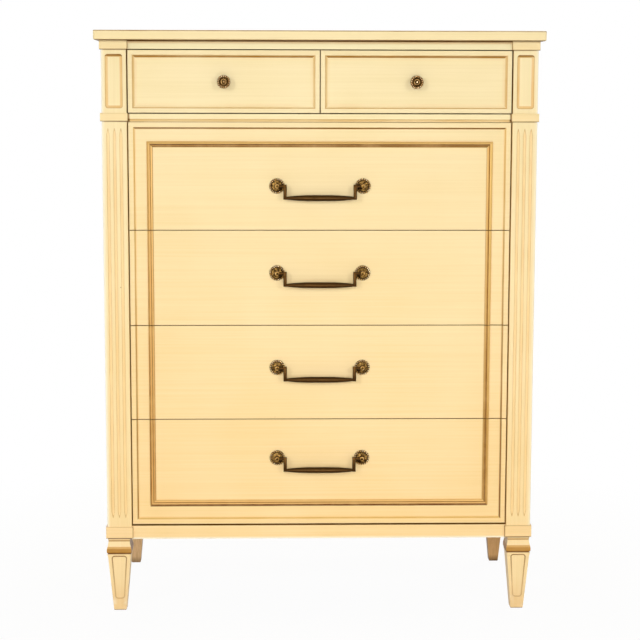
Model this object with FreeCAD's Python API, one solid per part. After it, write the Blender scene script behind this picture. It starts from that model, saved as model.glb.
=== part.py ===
import FreeCAD, Part
import math
import os

os.makedirs("parts", exist_ok=True)
Vector = FreeCAD.Vector

# Driving dimensions in millimetres
# The origin is on the floor below the middle of the top, +Z is up and the front faces -Y

case_width = 970.0
case_depth = 483.0
case_height = 1283.0
slab_thickness = 21.0
slab_side_overhang = 14.2
slab_front_overhang = 20.0
slab_back_overhang = 6.0
leg_height = 168.4
post_width = 54.2
base_rail_height = 29.4
frieze_height = 19.4
small_row_height = 136.1
mid_rail_height = 17.9
top_row_height = 234.7
middle_row_height = 209.1
bottom_row_height = 237.9
side_panel_thickness = 18.0
side_panel_inset = 2.0
back_panel_thickness = 5.0
back_panel_rabbet = 9.0
back_panel_lift = 4.0
partition_thickness = 18.0
frame_thickness = 16.0
frame_rail_width = 48.0
runner_width = 66.0
centre_runner_width = 90.0
front_thickness = 20.0
box_wall = 12.0
box_bottom_thickness = 5.0
dust_panel_thickness = 4.0
pull_boring = 187.2

# How far each front surface lies behind the face of the posts

front_setback = 4.0
frieze_setback = 5.0
mid_rail_setback = 1.5
base_rail_setback = 2.5
rail_depth = 22.0
base_rail_drop = 2.4

# Visible gaps, running clearances, the overrun of cuts and the play in telling a straight edge

side_gap = 2.2
rail_gap = 2.2
mid_rail_gap = 1.0
base_gap = 3.4
row_gap = 1.8
centre_gap = 2.2
ride_gap = 0.3
guide_gap = 0.5
box_headroom = 6.0
box_rear_gap = 14.0
box_inset = 9.0
bore_clearance = 0.08
tenon_clearance = 0.15
screw_clearance = 0.4
cut_overrun = 5.0
straightness = 0.1

# Small sizes of the slab, posts, blocks and rails

slab_corner_radius = 5.0
slab_lower_radius = 3.5
slab_upper_radius = 1.5
edge_radius = 0.8
post_edge_radius = 1.0
capital_proud = 3.4
collar_proud = 3.2
plinth_proud = 2.9
block_inner_proud = 2.6
block_edge_radius = 1.2
collar_height = 17.6
collar_drop_below_mid_rail = 0.7
plinth_height = 25.8
flute_width = 7.0
flute_depth = 2.4
flute_pitch = 13.9
flute_top_margin = 13.5
flute_foot_margin = 19.4
flute_run_out = 16.0
panel_side_margin = 8.5
panel_top_margin = 10.0
panel_foot_margin = 10.3
panel_corner_radius = 5.5
panel_border = 6.5
panel_depth = 3.0
mid_rail_cove_height = 6.0
mid_rail_cove_depth = 4.0

# Small sizes of the legs

leg_outset = 1.9
foot_width = 28.0
leg_taper_width = 51.0
leg_shoulder_width = 52.6
leg_shoulder_drop = 35.9
leg_shoulder_round = 1.2
leg_flare_height = 9.0
leg_fillet_height = 5.0
leg_fillet_width = 49.2
leg_neck_width = 47.2
leg_neck_hollow = 0.6
leg_collar_width = 51.6
leg_collar_drop = 18.8
leg_collar_edge = 1.2
leg_ovolo_drop = 33.9
leg_ovolo_swell = 1.0
leg_ovolo_foot_width = 53.8
leg_quirk_width = 49.0
tenon_radius = 11.0
tenon_length = 38.0
foot_round = 1.5
groove_top_margin = 3.8
groove_foot_margin = 27.0
groove_side_margin_top = 7.6
groove_side_margin_foot = 5.6
groove_width = 2.6
groove_depth = 1.3
groove_corner_radius = 7.0
rear_leg_top_width = 52.0
rear_foot_width = 21.6
rear_foot_round = 3.0
rear_leg_inset = 14.0
rear_tenon_radius = 8.0

# Small sizes of the drawers

small_lip = 9.4
small_cove_width = 6.4
small_recess = 4.0
cove_facets = 5
wide_lip = 11.0
wide_slope = 2.4
wide_recess = 3.0
moulding_inset = 41.2
moulding_bead_width = 6.8
moulding_bead_foot = 2.0
moulding_height = 4.6
moulding_quirk_width = 1.4
moulding_fillet_width = 3.1
moulding_fillet_height = 2.8
moulding_step_width = 1.7
moulding_step_height = 1.1
groove_into_wall = 5.0
dado_into_wall = 4.0
bottom_lift = 10.0
box_back_inset = 6.0
tongue_depth = 7.0
tongue_root = 6.5
tongue_tip = 9.5
guide_width = 20.0
guide_height = 15.0
dust_groove = 6.0

# Small sizes of the knobs and pulls

knob_rise = -0.5
knob_foot_radius = 8.5
knob_foot_height = 2.2
knob_neck_radius = 5.0
knob_neck_height = 9.0
knob_head_radius = 15.0
knob_rim_height = 15.0
knob_rim_thickness = 4.5
knob_groove_radius = 10.4
knob_groove_depth = 2.0
knob_crown_radius = 8.4
knob_crown_rise = 3.0
screw_radius = 2.0
screw_head_radius = 4.5
screw_head_height = 2.6
screw_grip = 7.0
pull_rise_top_row = 6.1
pull_rise_middle_rows = 11.0
pull_rise_bottom_row = 4.8
rosette_radius = 17.4
rosette_rim = 2.6
rosette_dome = 6.8
post_radius = 4.6
pivot_stand = 14.0
pin_radius = 2.3
pin_overhang = 1.4
arm_radius = 3.2
arm_gap = 0.4
bail_bar_width = 7.4
bail_bar_edge = 0.7
bail_spread = 152.2
bail_drop = 25.6
grip_end_radius = 3.2
grip_radius = 6.6
grip_straight_share = 0.25

# Planes worked out from the driving dimensions

half_width = case_width / 2
post_outer = half_width - slab_side_overhang
post_inner = post_outer - post_width
post_centre = (post_outer + post_inner) / 2
side_outer = post_outer - side_panel_inset
side_inner = side_outer - side_panel_thickness
front_edge = post_inner - side_gap
box_outer = post_inner - box_inset
guide_inner = box_outer + guide_gap
runner_inner = side_inner - runner_width
face_y = slab_front_overhang - case_depth / 2
back_y = case_depth / 2 - slab_back_overhang
post_back_y = face_y + post_width
front_y = face_y + front_setback
front_back_y = front_y + front_thickness
frame_back_y = back_y - back_panel_thickness
runner_front_y = front_back_y + frame_rail_width
runner_back_y = frame_back_y - frame_rail_width
box_back_y = frame_back_y - box_rear_gap
slab_bottom = case_height - slab_thickness
frieze_line = slab_bottom - frieze_height
mid_line_top = frieze_line - small_row_height
mid_line_foot = mid_line_top - mid_rail_height
base_line = leg_height + base_rail_height

# The four wide rows fill the height between the rails in the proportion of their own heights

row_sum = top_row_height + 2 * middle_row_height + bottom_row_height
row_stretch = (mid_line_foot - base_line) / row_sum
line_one = mid_line_foot - row_stretch * top_row_height
line_two = line_one - row_stretch * middle_row_height
line_three = line_two - row_stretch * middle_row_height
shaft_top = mid_line_foot + collar_drop_below_mid_rail
collar_top = shaft_top + collar_height
plinth_top = leg_height + plinth_height
moulding_width = moulding_bead_width + moulding_quirk_width + moulding_fillet_width + moulding_step_width
leg_centre = post_centre + leg_outset
leg_centre_y = face_y + post_width / 2
rear_leg_centre = side_outer - rear_leg_top_width / 2
rear_leg_centre_y = back_y - rear_leg_inset - rear_leg_top_width / 2


def block(x_span, y_span, z_span):
    corner = Vector(x_span[0], y_span[0], z_span[0])
    return Part.makeBox(x_span[1] - x_span[0], y_span[1] - y_span[0], z_span[1] - z_span[0], corner)


def mirrored(shape):
    return shape.mirror(Vector(0, 0, 0), Vector(1, 0, 0))


def both_sides(shape):
    return [shape, mirrored(shape)]


def save(node, shapes):
    solids = [solid for shape in shapes for solid in shape.Solids]
    result = solids[0] if len(solids) == 1 else Part.makeCompound(solids)
    result.exportStep("parts/" + node + ".step")


def edges_where(shape, test):
    return [edge for edge in shape.Edges if test(edge)]


def runs_along(edge, axis):
    span = edge.BoundBox
    lengths = {"x": span.XLength, "y": span.YLength, "z": span.ZLength}
    return all(lengths[name] < straightness for name in lengths if name != axis)


def soften_front_edges(shape, radius):
    front = shape.BoundBox.YMin
    return shape.makeFillet(radius, edges_where(shape, lambda edge: edge.BoundBox.YMax < front + radius / 2))


def outline_face(start, steps, place):
    # Each step is an end point, or a middle point and an end point of an arc
    edges = []
    here = place(*start)
    for step in steps:
        end = place(*step[-1])
        if len(step) == 1:
            edges.append(Part.LineSegment(here, end).toShape())
        else:
            edges.append(Part.Arc(here, place(*step[0]), end).toShape())
        here = end
    return Part.Face(Part.Wire(edges))


def cap_step(radius, base, rise):
    # Arc of a shallow dome from its rim to its top on the axis
    sphere = (radius ** 2 + rise ** 2) / (2 * rise)
    angle = math.asin(radius / sphere) / 2
    return [(sphere * math.sin(angle), base + rise - sphere * (1 - math.cos(angle))), (0, base + rise)]


def turned(start, steps, centre, axis, place):
    return outline_face(start, steps, place).revolve(centre, axis, 360)


# Top slab with rounded corners and softened arrises

def make_slab():
    slab = block((-half_width, half_width), (-case_depth / 2, case_depth / 2), (slab_bottom, case_height))
    slab = slab.makeFillet(slab_corner_radius, edges_where(slab, lambda edge: runs_along(edge, "z")))
    middle = (slab_bottom + case_height) / 2
    lower = edges_where(slab, lambda edge: edge.BoundBox.ZMax < middle)
    slab = slab.makeFillet(slab_lower_radius, lower)
    upper = edges_where(slab, lambda edge: edge.BoundBox.ZMin > case_height - slab_upper_radius / 2)
    return slab.makeFillet(slab_upper_radius, upper)


# Front posts: a sunk panel at the head and three flutes down the shaft

def rounded_rectangle(x_span, z_span, radius, y):
    diagonal = radius * (1 - math.sqrt(0.5))
    x0, x1 = x_span
    z0, z1 = z_span
    start = (x0 + radius, z0)
    steps = [
        [(x1 - radius, z0)],
        [(x1 - diagonal, z0 + diagonal), (x1, z0 + radius)],
        [(x1, z1 - radius)],
        [(x1 - diagonal, z1 - diagonal), (x1 - radius, z1)],
        [(x0 + radius, z1)],
        [(x0 + diagonal, z1 - diagonal), (x0, z1 - radius)],
        [(x0, z0 + radius)],
        [(x0 + diagonal, z0 + diagonal), start],
    ]
    return outline_face(start, steps, lambda x, z: Vector(x, y, z)).OuterWire


def cove_rings(width, depth):
    # Inset and depth of each ring of a hollow that ends level with the sunk field
    angles = [math.pi / 2 * step / cove_facets for step in range(cove_facets + 1)]
    return [(width * (1 - math.cos(angle)), depth * math.sin(angle)) for angle in angles]


def make_post():
    post = block((post_inner, post_outer), (face_y, post_back_y), (leg_height, slab_bottom))
    upright = edges_where(post, lambda edge: runs_along(edge, "z") and edge.BoundBox.YMax < leg_centre_y)
    post = post.makeFillet(post_edge_radius, upright)

    flute_radius = (flute_width ** 2 / 4 + flute_depth ** 2) / (2 * flute_depth)
    flute_y = face_y + flute_depth - flute_radius
    foot = plinth_top + flute_foot_margin + flute_run_out
    head = shaft_top - flute_top_margin - flute_run_out
    # The cutter is lifted out over the run-out, so each flute narrows to a point at both ends
    tip_length = flute_run_out * flute_radius / flute_depth
    for place in (-1, 0, 1):
        low = Vector(post_centre + place * flute_pitch, flute_y, foot)
        high = Vector(low.x, flute_y, head)
        post = post.cut(Part.makeCylinder(flute_radius, head - foot, low))
        post = post.cut(Part.makeCone(flute_radius, 0, tip_length, low, Vector(0, 0, -1)))
        post = post.cut(Part.makeCone(flute_radius, 0, tip_length, high))

    x0, x1 = post_inner + panel_side_margin, post_outer - panel_side_margin
    z0, z1 = collar_top + panel_foot_margin, frieze_line - panel_top_margin
    rings = []
    for inset, depth in cove_rings(panel_border, panel_depth):
        radius = max(panel_corner_radius - inset, panel_corner_radius / 4)
        ring = rounded_rectangle((x0 + inset, x1 - inset), (z0 + inset, z1 - inset), radius, face_y + depth)
        rings.append(ring)
    for near, far in zip(rings, rings[1:]):
        post = post.cut(Part.makeLoft([near, far], True, True))

    bore = Part.makeCylinder(tenon_radius + tenon_clearance, tenon_length + tenon_clearance,
                             Vector(leg_centre, leg_centre_y, leg_height))
    return post.cut(bore)


# Blocks planted round the posts: capital, collar and plinth

def make_post_block(z_span, proud, rail_front):
    # The footprint wraps the front and the outer side, and its inner return ends on the rail
    inner_x = post_inner - block_inner_proud
    outer_x = post_outer + proud
    front = face_y - proud
    steps = [
        [(outer_x, front)],
        [(outer_x, post_back_y)],
        [(post_outer, post_back_y)],
        [(post_outer, face_y)],
        [(post_inner, face_y)],
        [(post_inner, rail_front)],
        [(inner_x, rail_front)],
        [(inner_x, front)],
    ]
    face = outline_face((inner_x, front), steps, lambda x, y: Vector(x, y, z_span[0]))
    return soften_front_edges(face.extrude(Vector(0, 0, z_span[1] - z_span[0])), block_edge_radius)


# Front leg: square section with a neck, an ovolo and a tapered shaft outlined by a routed groove

def make_front_leg():
    shoulder_z = leg_height - leg_shoulder_drop
    collar_z = leg_height - leg_collar_drop
    fillet_z = leg_height - leg_fillet_height
    ovolo_z = leg_height - leg_ovolo_drop
    neck_middle = (leg_neck_width + leg_collar_width) / 4
    neck_bend = (neck_middle - leg_neck_hollow, (fillet_z + collar_z) / 2)
    ovolo_middle = (leg_ovolo_foot_width + leg_collar_width) / 4
    ovolo_bend = (ovolo_middle + leg_ovolo_swell, (ovolo_z + collar_z) / 2)
    taper = (leg_taper_width - foot_width) / 2 / shoulder_z
    flare_z = shoulder_z - leg_flare_height
    flare_half = foot_width / 2 + taper * flare_z
    right = [
        [(foot_width / 2 - foot_round, 0)],
        [(foot_width / 2, foot_round)],
        [(flare_half, flare_z)],
        [(leg_shoulder_width / 2, shoulder_z - leg_shoulder_round)],
        [(leg_shoulder_width / 2 - leg_shoulder_round, shoulder_z)],
        [(leg_quirk_width / 2, shoulder_z)],
        [(leg_quirk_width / 2, ovolo_z)],
        [(leg_ovolo_foot_width / 2, ovolo_z)],
        [ovolo_bend, (leg_collar_width / 2, collar_z - leg_collar_edge)],
        [(leg_collar_width / 2, collar_z)],
        [neck_bend, (leg_neck_width / 2, fillet_z)],
        [(leg_fillet_width / 2, fillet_z)],
        [(leg_fillet_width / 2, leg_height)],
    ]
    left = []
    ends = [(0, 0)] + [step[-1] for step in right]
    for step, before in zip(reversed(right), reversed(ends[:-1])):
        middle = [(-step[0][0], step[0][1])] if len(step) == 2 else []
        left.append(middle + [(-before[0], before[1])])
    crown = [[(-leg_fillet_width / 2, leg_height)]]
    steps = right + crown + left

    section = outline_face((0, 0), steps, lambda width, z: Vector(width, -leg_height / 2, z))
    seen_in_front = section.extrude(Vector(0, leg_height, 0))
    seen_from_side = seen_in_front.copy()
    seen_from_side.rotate(Vector(0, 0, 0), Vector(0, 0, 1), 90)
    leg = seen_in_front.common(seen_from_side)

    groove = leg_groove(taper, shoulder_z)
    groove.rotate(Vector(0, 0, 0), Vector(1, 0, 0), math.degrees(math.atan(taper)))
    groove.translate(Vector(0, -foot_width / 2, 0))
    side_groove = groove.copy()
    side_groove.rotate(Vector(0, 0, 0), Vector(0, 0, 1), 90)
    leg = leg.cut(groove).cut(side_groove)

    leg = leg.fuse(Part.makeCylinder(tenon_radius, tenon_length, Vector(0, 0, leg_height)))
    leg.translate(Vector(leg_centre, leg_centre_y, 0))
    return leg


def leg_groove(taper, shoulder_z):
    foot_z = groove_foot_margin
    top_z = shoulder_z - groove_top_margin
    foot_half = foot_width / 2 + taper * foot_z - groove_side_margin_foot
    top_half = foot_width / 2 + taper * top_z - groove_side_margin_top

    def panel(inset):
        low, high = foot_half - inset, top_half - inset
        start = (-low, foot_z + inset)
        steps = [[(low, foot_z + inset)], [(high, top_z - inset)], [(-high, top_z - inset)], [start]]
        face = outline_face(start, steps, lambda x, z: Vector(x, -cut_overrun, z))
        prism = face.extrude(Vector(0, cut_overrun + groove_depth, 0))
        ends = edges_where(prism, lambda edge: runs_along(edge, "y"))
        return prism.makeFillet(groove_corner_radius - inset, ends)

    return panel(0).cut(panel(groove_width))


# Rear leg: a plain square taper with a short tenon

def make_rear_leg():
    half_foot, half_top = rear_foot_width / 2, rear_leg_top_width / 2
    leg = Part.makeWedge(-half_foot, 0, -half_foot, -half_top, -half_top,
                         half_foot, leg_height, half_foot, half_top, half_top)
    leg.rotate(Vector(0, 0, 0), Vector(1, 0, 0), 90)
    leg = leg.makeFillet(rear_foot_round, edges_where(leg, lambda edge: edge.BoundBox.ZMax < rear_foot_round / 2))
    leg.translate(Vector(rear_leg_centre, rear_leg_centre_y, 0))
    tenon_x = (side_inner + rear_leg_centre - half_top) / 2
    tenon = Part.makeCylinder(rear_tenon_radius, base_frame_bottom() - leg_height,
                              Vector(tenon_x, rear_leg_centre_y, leg_height))
    return leg.fuse(tenon)


def base_frame_bottom():
    return base_line - base_gap / 2 - frame_thickness


# Glue blocks in the four lower corners, the rear pair bored for the leg tenons

def make_corner_blocks():
    z_span = (leg_height, base_frame_bottom())
    rear_inner = rear_leg_centre - rear_leg_top_width / 2
    rear_y = (rear_leg_centre_y - rear_leg_top_width / 2, rear_leg_centre_y + rear_leg_top_width / 2)
    rear = block((rear_inner, side_inner), rear_y, z_span)
    hole = Part.makeCylinder(rear_tenon_radius + tenon_clearance, z_span[1] - z_span[0],
                             Vector((side_inner + rear_inner) / 2, rear_leg_centre_y, leg_height))
    front = block((post_inner, side_inner), (post_back_y, post_back_y + frame_rail_width), z_span)
    return both_sides(rear.cut(hole)) + both_sides(front)


# Rails across the front

def make_frieze_rail():
    y_span = (face_y + frieze_setback, face_y + frieze_setback + rail_depth)
    return block((-post_inner, post_inner), y_span, (frieze_line + rail_gap / 2, slab_bottom))


def make_mid_rail():
    front = face_y + mid_rail_setback
    low, high = mid_line_foot - rail_gap / 2 + mid_rail_gap, mid_line_top - rail_gap / 2
    rail = block((-post_inner, post_inner), (front, front + rail_depth), (low, high))
    hollow_top = low + mid_rail_cove_height
    bend = math.sqrt(0.5)
    middle = (front + mid_rail_cove_depth * bend, hollow_top - mid_rail_cove_height * (1 - bend))
    start = (front - cut_overrun, low - cut_overrun)
    steps = [
        [(front - cut_overrun, hollow_top)],
        [(front, hollow_top)],
        [middle, (front + mid_rail_cove_depth, low)],
        [(front + mid_rail_cove_depth, low - cut_overrun)],
        [start],
    ]
    hollow = outline_face(start, steps, lambda y, z: Vector(-post_inner, y, z))
    return rail.cut(hollow.extrude(Vector(2 * post_inner, 0, 0)))


def make_base_rail():
    front = face_y + base_rail_setback
    rail = block((-post_inner, post_inner), (front, front + rail_depth),
                 (leg_height - base_rail_drop, base_line - base_gap / 2))
    return soften_front_edges(rail, edge_radius)


# Side panels rabbeted for the back panel

def make_back_panel():
    reach = side_inner + back_panel_rabbet
    return block((-reach, reach), (frame_back_y, back_y), (leg_height + back_panel_lift, slab_bottom))


def make_side_panel():
    panel = block((side_inner, side_outer), (post_back_y, back_y), (leg_height, slab_bottom))
    return panel.cut(make_back_panel())


# Inner frames: each level has a front rail, a rear rail, runners, guide strips and a dust panel

frame_levels = {
    "base": (base_line - base_gap / 2, frame_thickness, face_y + base_rail_setback + rail_depth),
    "three": (line_three + frame_thickness / 2, frame_thickness, front_back_y),
    "two": (line_two + frame_thickness / 2, frame_thickness, front_back_y),
    "one": (line_one + frame_thickness / 2, frame_thickness, front_back_y),
    "mid": (mid_line_top - rail_gap / 2, frame_thickness, face_y + mid_rail_setback + rail_depth),
    "top": (slab_bottom, frieze_height - rail_gap / 2, face_y + frieze_setback + rail_depth),
}


def frame_bottom(level):
    top, thickness, front = frame_levels[level]
    return top - thickness


def make_frames():
    rails, runners, guides, panels = [], [], [], []
    centre_half = centre_runner_width / 2
    for level, (top, thickness, front) in frame_levels.items():
        z_span = (top - thickness, top)
        frame = [
            block((-post_inner, post_inner), (front, runner_front_y), z_span),
            block((-side_inner, side_inner), (runner_back_y, frame_back_y), z_span),
        ]
        bearers = both_sides(block((runner_inner, side_inner), (runner_front_y, runner_back_y), z_span))
        openings = [(-runner_inner - dust_groove, runner_inner + dust_groove)]
        if level == "mid":
            bearers.append(block((-centre_half, centre_half), (runner_front_y, runner_back_y), z_span))
            openings = [(-runner_inner - dust_groove, dust_groove - centre_half),
                        (centre_half - dust_groove, runner_inner + dust_groove)]
        if level != "top":
            middle = top - thickness / 2
            z_panel = (middle - dust_panel_thickness / 2, middle + dust_panel_thickness / 2)
            y_panel = (runner_front_y - dust_groove, runner_back_y + dust_groove)
            sheets = [block(x_span, y_panel, z_panel) for x_span in openings]
            for sheet in sheets:
                frame = [piece.cut(sheet) for piece in frame]
                bearers = [piece.cut(sheet) for piece in bearers]
            panels += sheets
            guide = block((guide_inner, guide_inner + guide_width), (runner_front_y, runner_back_y),
                          (top, top + guide_height))
            guides += both_sides(guide)
        rails += frame
        runners += bearers
    return rails, runners, guides, panels


def make_partition():
    half = partition_thickness / 2
    return block((-half, half), (front_back_y, frame_back_y), (frame_levels["mid"][0], frame_bottom("top")))


# Drawer boxes: sides tongued into the front, a back let into dadoes, a bottom in grooves

class DrawerBox:
    def __init__(self, x_span, level, level_above):
        self.x0, self.x1 = x_span
        self.low = frame_levels[level][0] + ride_gap
        self.high = frame_bottom(level_above) - box_headroom
        self.bottom_low = self.low + bottom_lift
        self.bottom_high = self.bottom_low + box_bottom_thickness
        self.back_rear = box_back_y - box_back_inset
        self.back_front = self.back_rear - box_wall

    def bottom(self):
        x_span = (self.x0 + box_wall - groove_into_wall, self.x1 - box_wall + groove_into_wall)
        y_span = (front_back_y - groove_into_wall, self.back_rear)
        return block(x_span, y_span, (self.bottom_low, self.bottom_high))

    def back(self):
        x_span = (self.x0 + box_wall - dado_into_wall, self.x1 - box_wall + dado_into_wall)
        return block(x_span, (self.back_front, self.back_rear), (self.bottom_high, self.high))

    def side(self, x_low):
        wall = block((x_low, x_low + box_wall), (front_back_y, box_back_y), (self.low, self.high))
        wall = wall.cut(self.bottom()).cut(self.back())
        return wall.fuse(self.tongue(x_low + box_wall / 2)).removeSplitter()

    def tongue(self, x_middle):
        root, tip = tongue_root / 2, tongue_tip / 2
        start = (x_middle - root, front_back_y)
        steps = [
            [(x_middle + root, front_back_y)],
            [(x_middle + tip, front_back_y - tongue_depth)],
            [(x_middle - tip, front_back_y - tongue_depth)],
            [start],
        ]
        face = outline_face(start, steps, lambda x, y: Vector(x, y, self.bottom_high))
        return face.extrude(Vector(0, 0, self.high - self.bottom_high))

    def sides(self):
        return [self.side(self.x0), self.side(self.x1 - box_wall)]

    def cut_front(self, front):
        front = front.cut(self.bottom())
        for x_low in (self.x0, self.x1 - box_wall):
            front = front.cut(self.tongue(x_low + box_wall / 2))
        return front


def save_box(node, box):
    save(node + "_sides", box.sides())
    save(node + "_back", [box.back()])
    save(node + "_bottom", [box.bottom()])


# Machine screw through a drawer front into a knob or post, driven from inside the drawer

def screw_bore(x, z, field_y):
    return Part.makeCylinder(screw_radius + screw_clearance, front_back_y - field_y + 2 * cut_overrun,
                             Vector(x, field_y - cut_overrun, z), Vector(0, 1, 0))


def make_screw(x, z, field_y):
    shank = Part.makeCylinder(screw_radius, front_back_y - field_y + screw_grip,
                              Vector(x, field_y - screw_grip, z), Vector(0, 1, 0))
    head = Part.makeCylinder(screw_head_radius, screw_head_height,
                             Vector(x, front_back_y, z), Vector(0, 1, 0))
    return shank.fuse(head)


def screw_socket(x, z, field_y):
    return Part.makeCylinder(screw_radius + tenon_clearance, screw_grip + tenon_clearance,
                             Vector(x, field_y, z), Vector(0, -1, 0))


# Small drawer: a sunk field with a coved border and one knob

def sunk_field(front, x_span, z_span, front_face, width, depth):
    rings = cove_rings(width, depth)
    x0, x1 = x_span
    z0, z1 = z_span
    for (inset, near), (next_inset, far) in zip(rings, rings[1:]):
        front = front.cut(Part.makeWedge(
            x0 + inset, front_face + near, z0 + inset, z0 + next_inset, x0 + next_inset,
            x1 - inset, front_face + far, z1 - inset, z1 - next_inset, x1 - next_inset))
    return front


def make_knob(x, z, field_y):
    rim_low = knob_rim_height
    rim_high = knob_rim_height + knob_rim_thickness
    start = (0, 0)
    steps = [
        [(knob_foot_radius, 0)],
        [(knob_foot_radius, knob_foot_height)],
        [(knob_neck_radius, (knob_foot_height + knob_neck_height) / 2), (knob_neck_radius, knob_neck_height)],
        [(knob_head_radius, rim_low)],
        [(knob_head_radius + knob_rim_thickness / 4, (rim_low + rim_high) / 2), (knob_head_radius, rim_high)],
        [(knob_groove_radius, rim_high)],
        [(knob_groove_radius, rim_high - knob_groove_depth)],
        [(knob_crown_radius, rim_high - knob_groove_depth)],
        [(knob_crown_radius, rim_high)],
        cap_step(knob_crown_radius, rim_high, knob_crown_rise),
        [start],
    ]
    knob = turned(start, steps, Vector(x, field_y, z), Vector(0, 1, 0),
                  lambda radius, height: Vector(x + radius, field_y - height, z))
    return knob.cut(screw_socket(x, z, field_y))


def make_small_drawer(side_name, shape_for_side):
    x_span = (centre_gap / 2, front_edge)
    z_span = (mid_line_top + rail_gap / 2, frieze_line - rail_gap / 2)
    front = block(x_span, (front_y, front_back_y), z_span)
    front = soften_front_edges(front, edge_radius)
    field_x = (x_span[0] + small_lip, x_span[1] - small_lip)
    field_z = (z_span[0] + small_lip, z_span[1] - small_lip)
    front = sunk_field(front, field_x, field_z, front_y, small_cove_width, small_recess)

    box = DrawerBox((partition_thickness / 2 + guide_gap, box_outer), "mid", "top")
    knob_x = (x_span[0] + x_span[1]) / 2
    knob_z = (z_span[0] + z_span[1]) / 2 + knob_rise
    field_y = front_y + small_recess
    front = box.cut_front(front).cut(screw_bore(knob_x, knob_z, field_y))

    node = "small_drawer_" + side_name
    save(node + "_front", [shape_for_side(front)])
    save(node + "_sides", [shape_for_side(side) for side in box.sides()])
    save(node + "_back", [shape_for_side(box.back())])
    save(node + "_bottom", [shape_for_side(box.bottom())])
    knob = [make_knob(knob_x, knob_z, field_y), make_screw(knob_x, knob_z, field_y)]
    save(node + "_knob", [shape_for_side(piece) for piece in knob])


# Wide drawers: one raised lip and one gilt moulding run round the group of four

def moulding_bar(place, run):
    # From the outer edge: a bead, a quirk, a flat fillet and a low step
    quirk = moulding_bead_width + moulding_quirk_width
    fillet = quirk + moulding_fillet_width
    start = (0, 0)
    steps = [
        [(0, moulding_bead_foot)],
        [(moulding_bead_width / 2, moulding_height), (moulding_bead_width, moulding_bead_foot)],
        [(moulding_bead_width, moulding_step_height)],
        [(quirk, moulding_step_height)],
        [(quirk, moulding_fillet_height)],
        [(fillet, moulding_fillet_height)],
        [(fillet, moulding_step_height)],
        [(moulding_width, moulding_step_height)],
        [(moulding_width, 0)],
        [start],
    ]
    return outline_face(start, steps, place).extrude(run)


def footprint(points, field_y):
    start = points[0]
    steps = [[point] for point in points[1:]] + [[start]]
    face = outline_face(start, steps, lambda x, z: Vector(x, field_y - 2 * moulding_height, z))
    return face.extrude(Vector(0, 2 * moulding_height, 0))


def make_moulding(z_span, field_y, has_top, has_foot):
    outer_x = post_inner - moulding_inset
    inner_x = outer_x - moulding_width
    z0 = z_span[0] + (moulding_inset if has_foot else 0)
    z1 = z_span[1] - (moulding_inset if has_top else 0)
    mitre_low = z0 + (moulding_width if has_foot else 0)
    mitre_high = z1 - (moulding_width if has_top else 0)
    upright = moulding_bar(lambda u, v: Vector(outer_x - u, field_y - v, z0), Vector(0, 0, z1 - z0))
    corners = [(outer_x, z0), (outer_x, z1), (inner_x, mitre_high), (inner_x, mitre_low)]
    strips = both_sides(upright.common(footprint(corners, field_y)))
    if has_top:
        bar = moulding_bar(lambda u, v: Vector(-outer_x, field_y - v, z1 - u), Vector(2 * outer_x, 0, 0))
        corners = [(-outer_x, z1), (outer_x, z1), (inner_x, mitre_high), (-inner_x, mitre_high)]
        strips.append(bar.common(footprint(corners, field_y)))
    if has_foot:
        bar = moulding_bar(lambda u, v: Vector(-outer_x, field_y - v, z0 + u), Vector(2 * outer_x, 0, 0))
        corners = [(-outer_x, z0), (-inner_x, mitre_low), (inner_x, mitre_low), (outer_x, z0)]
        strips.append(bar.common(footprint(corners, field_y)))
    return strips


# Drop pull: two rosette posts, bored across, and a bail that swings in them

def make_pull_post(x, z, field_y):
    # The dome and the stem are turned about the line of the screw
    dome_middle = (rosette_radius + post_radius) / 2
    start = (0, 0)
    steps = [
        [(rosette_radius, 0)],
        [(rosette_radius, rosette_rim)],
        [(dome_middle, (rosette_rim + rosette_dome) / 2 + rosette_rim / 2), (post_radius, rosette_dome)],
        [(post_radius, pivot_stand)],
        cap_step(post_radius, pivot_stand, post_radius),
        [start],
    ]
    post = turned(start, steps, Vector(x, field_y, z), Vector(0, 1, 0),
                  lambda radius, height: Vector(x + radius, field_y - height, z))
    bore = Part.makeCylinder(pin_radius + bore_clearance, 2 * post_radius + 2 * cut_overrun,
                             Vector(x - post_radius - cut_overrun, field_y - pivot_stand, z), Vector(1, 0, 0))
    return post.cut(bore).cut(screw_socket(x, z, field_y))


def make_bail(z, field_y):
    pivot_y = field_y - pivot_stand
    bar_inner = bail_spread / 2 - bail_bar_width / 2
    bar_outer = bail_spread / 2 + bail_bar_width / 2
    half_bar = bail_bar_width / 2
    pin_end = pull_boring / 2 + post_radius + pin_overhang
    arm_end = pull_boring / 2 - post_radius - arm_gap
    grip_z = z - bail_drop

    reach = bail_spread / 2
    corner = Vector(reach, pivot_y, z)
    bar = block((bar_inner, bar_outer), (pivot_y - half_bar, pivot_y + half_bar),
                (grip_z - grip_end_radius, z + half_bar))
    bar = bar.makeFillet(bail_bar_edge, bar.Edges)
    arm = Part.makeCylinder(arm_radius, arm_end - reach, corner, Vector(1, 0, 0))
    pin = Part.makeCylinder(pin_radius, pin_end - reach, corner, Vector(1, 0, 0))
    limb = bar.fuse(arm).fuse(pin)

    # The spindle is straight in its middle and falls away in a shallow arc on each side
    straight = grip_straight_share * reach
    arc_middle = (reach + straight) / 2
    arc_radius = grip_radius - (grip_radius - grip_end_radius) / 4
    start = (-reach, 0)
    steps = [
        [(-reach, grip_end_radius)],
        [(-arc_middle, arc_radius), (-straight, grip_radius)],
        [(straight, grip_radius)],
        [(arc_middle, arc_radius), (reach, grip_end_radius)],
        [(reach, 0)],
        [start],
    ]
    grip = turned(start, steps, Vector(0, pivot_y, grip_z), Vector(1, 0, 0),
                  lambda along, radius: Vector(along, pivot_y, grip_z + radius))
    return grip.fuse(limb).fuse(mirrored(limb))


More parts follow.
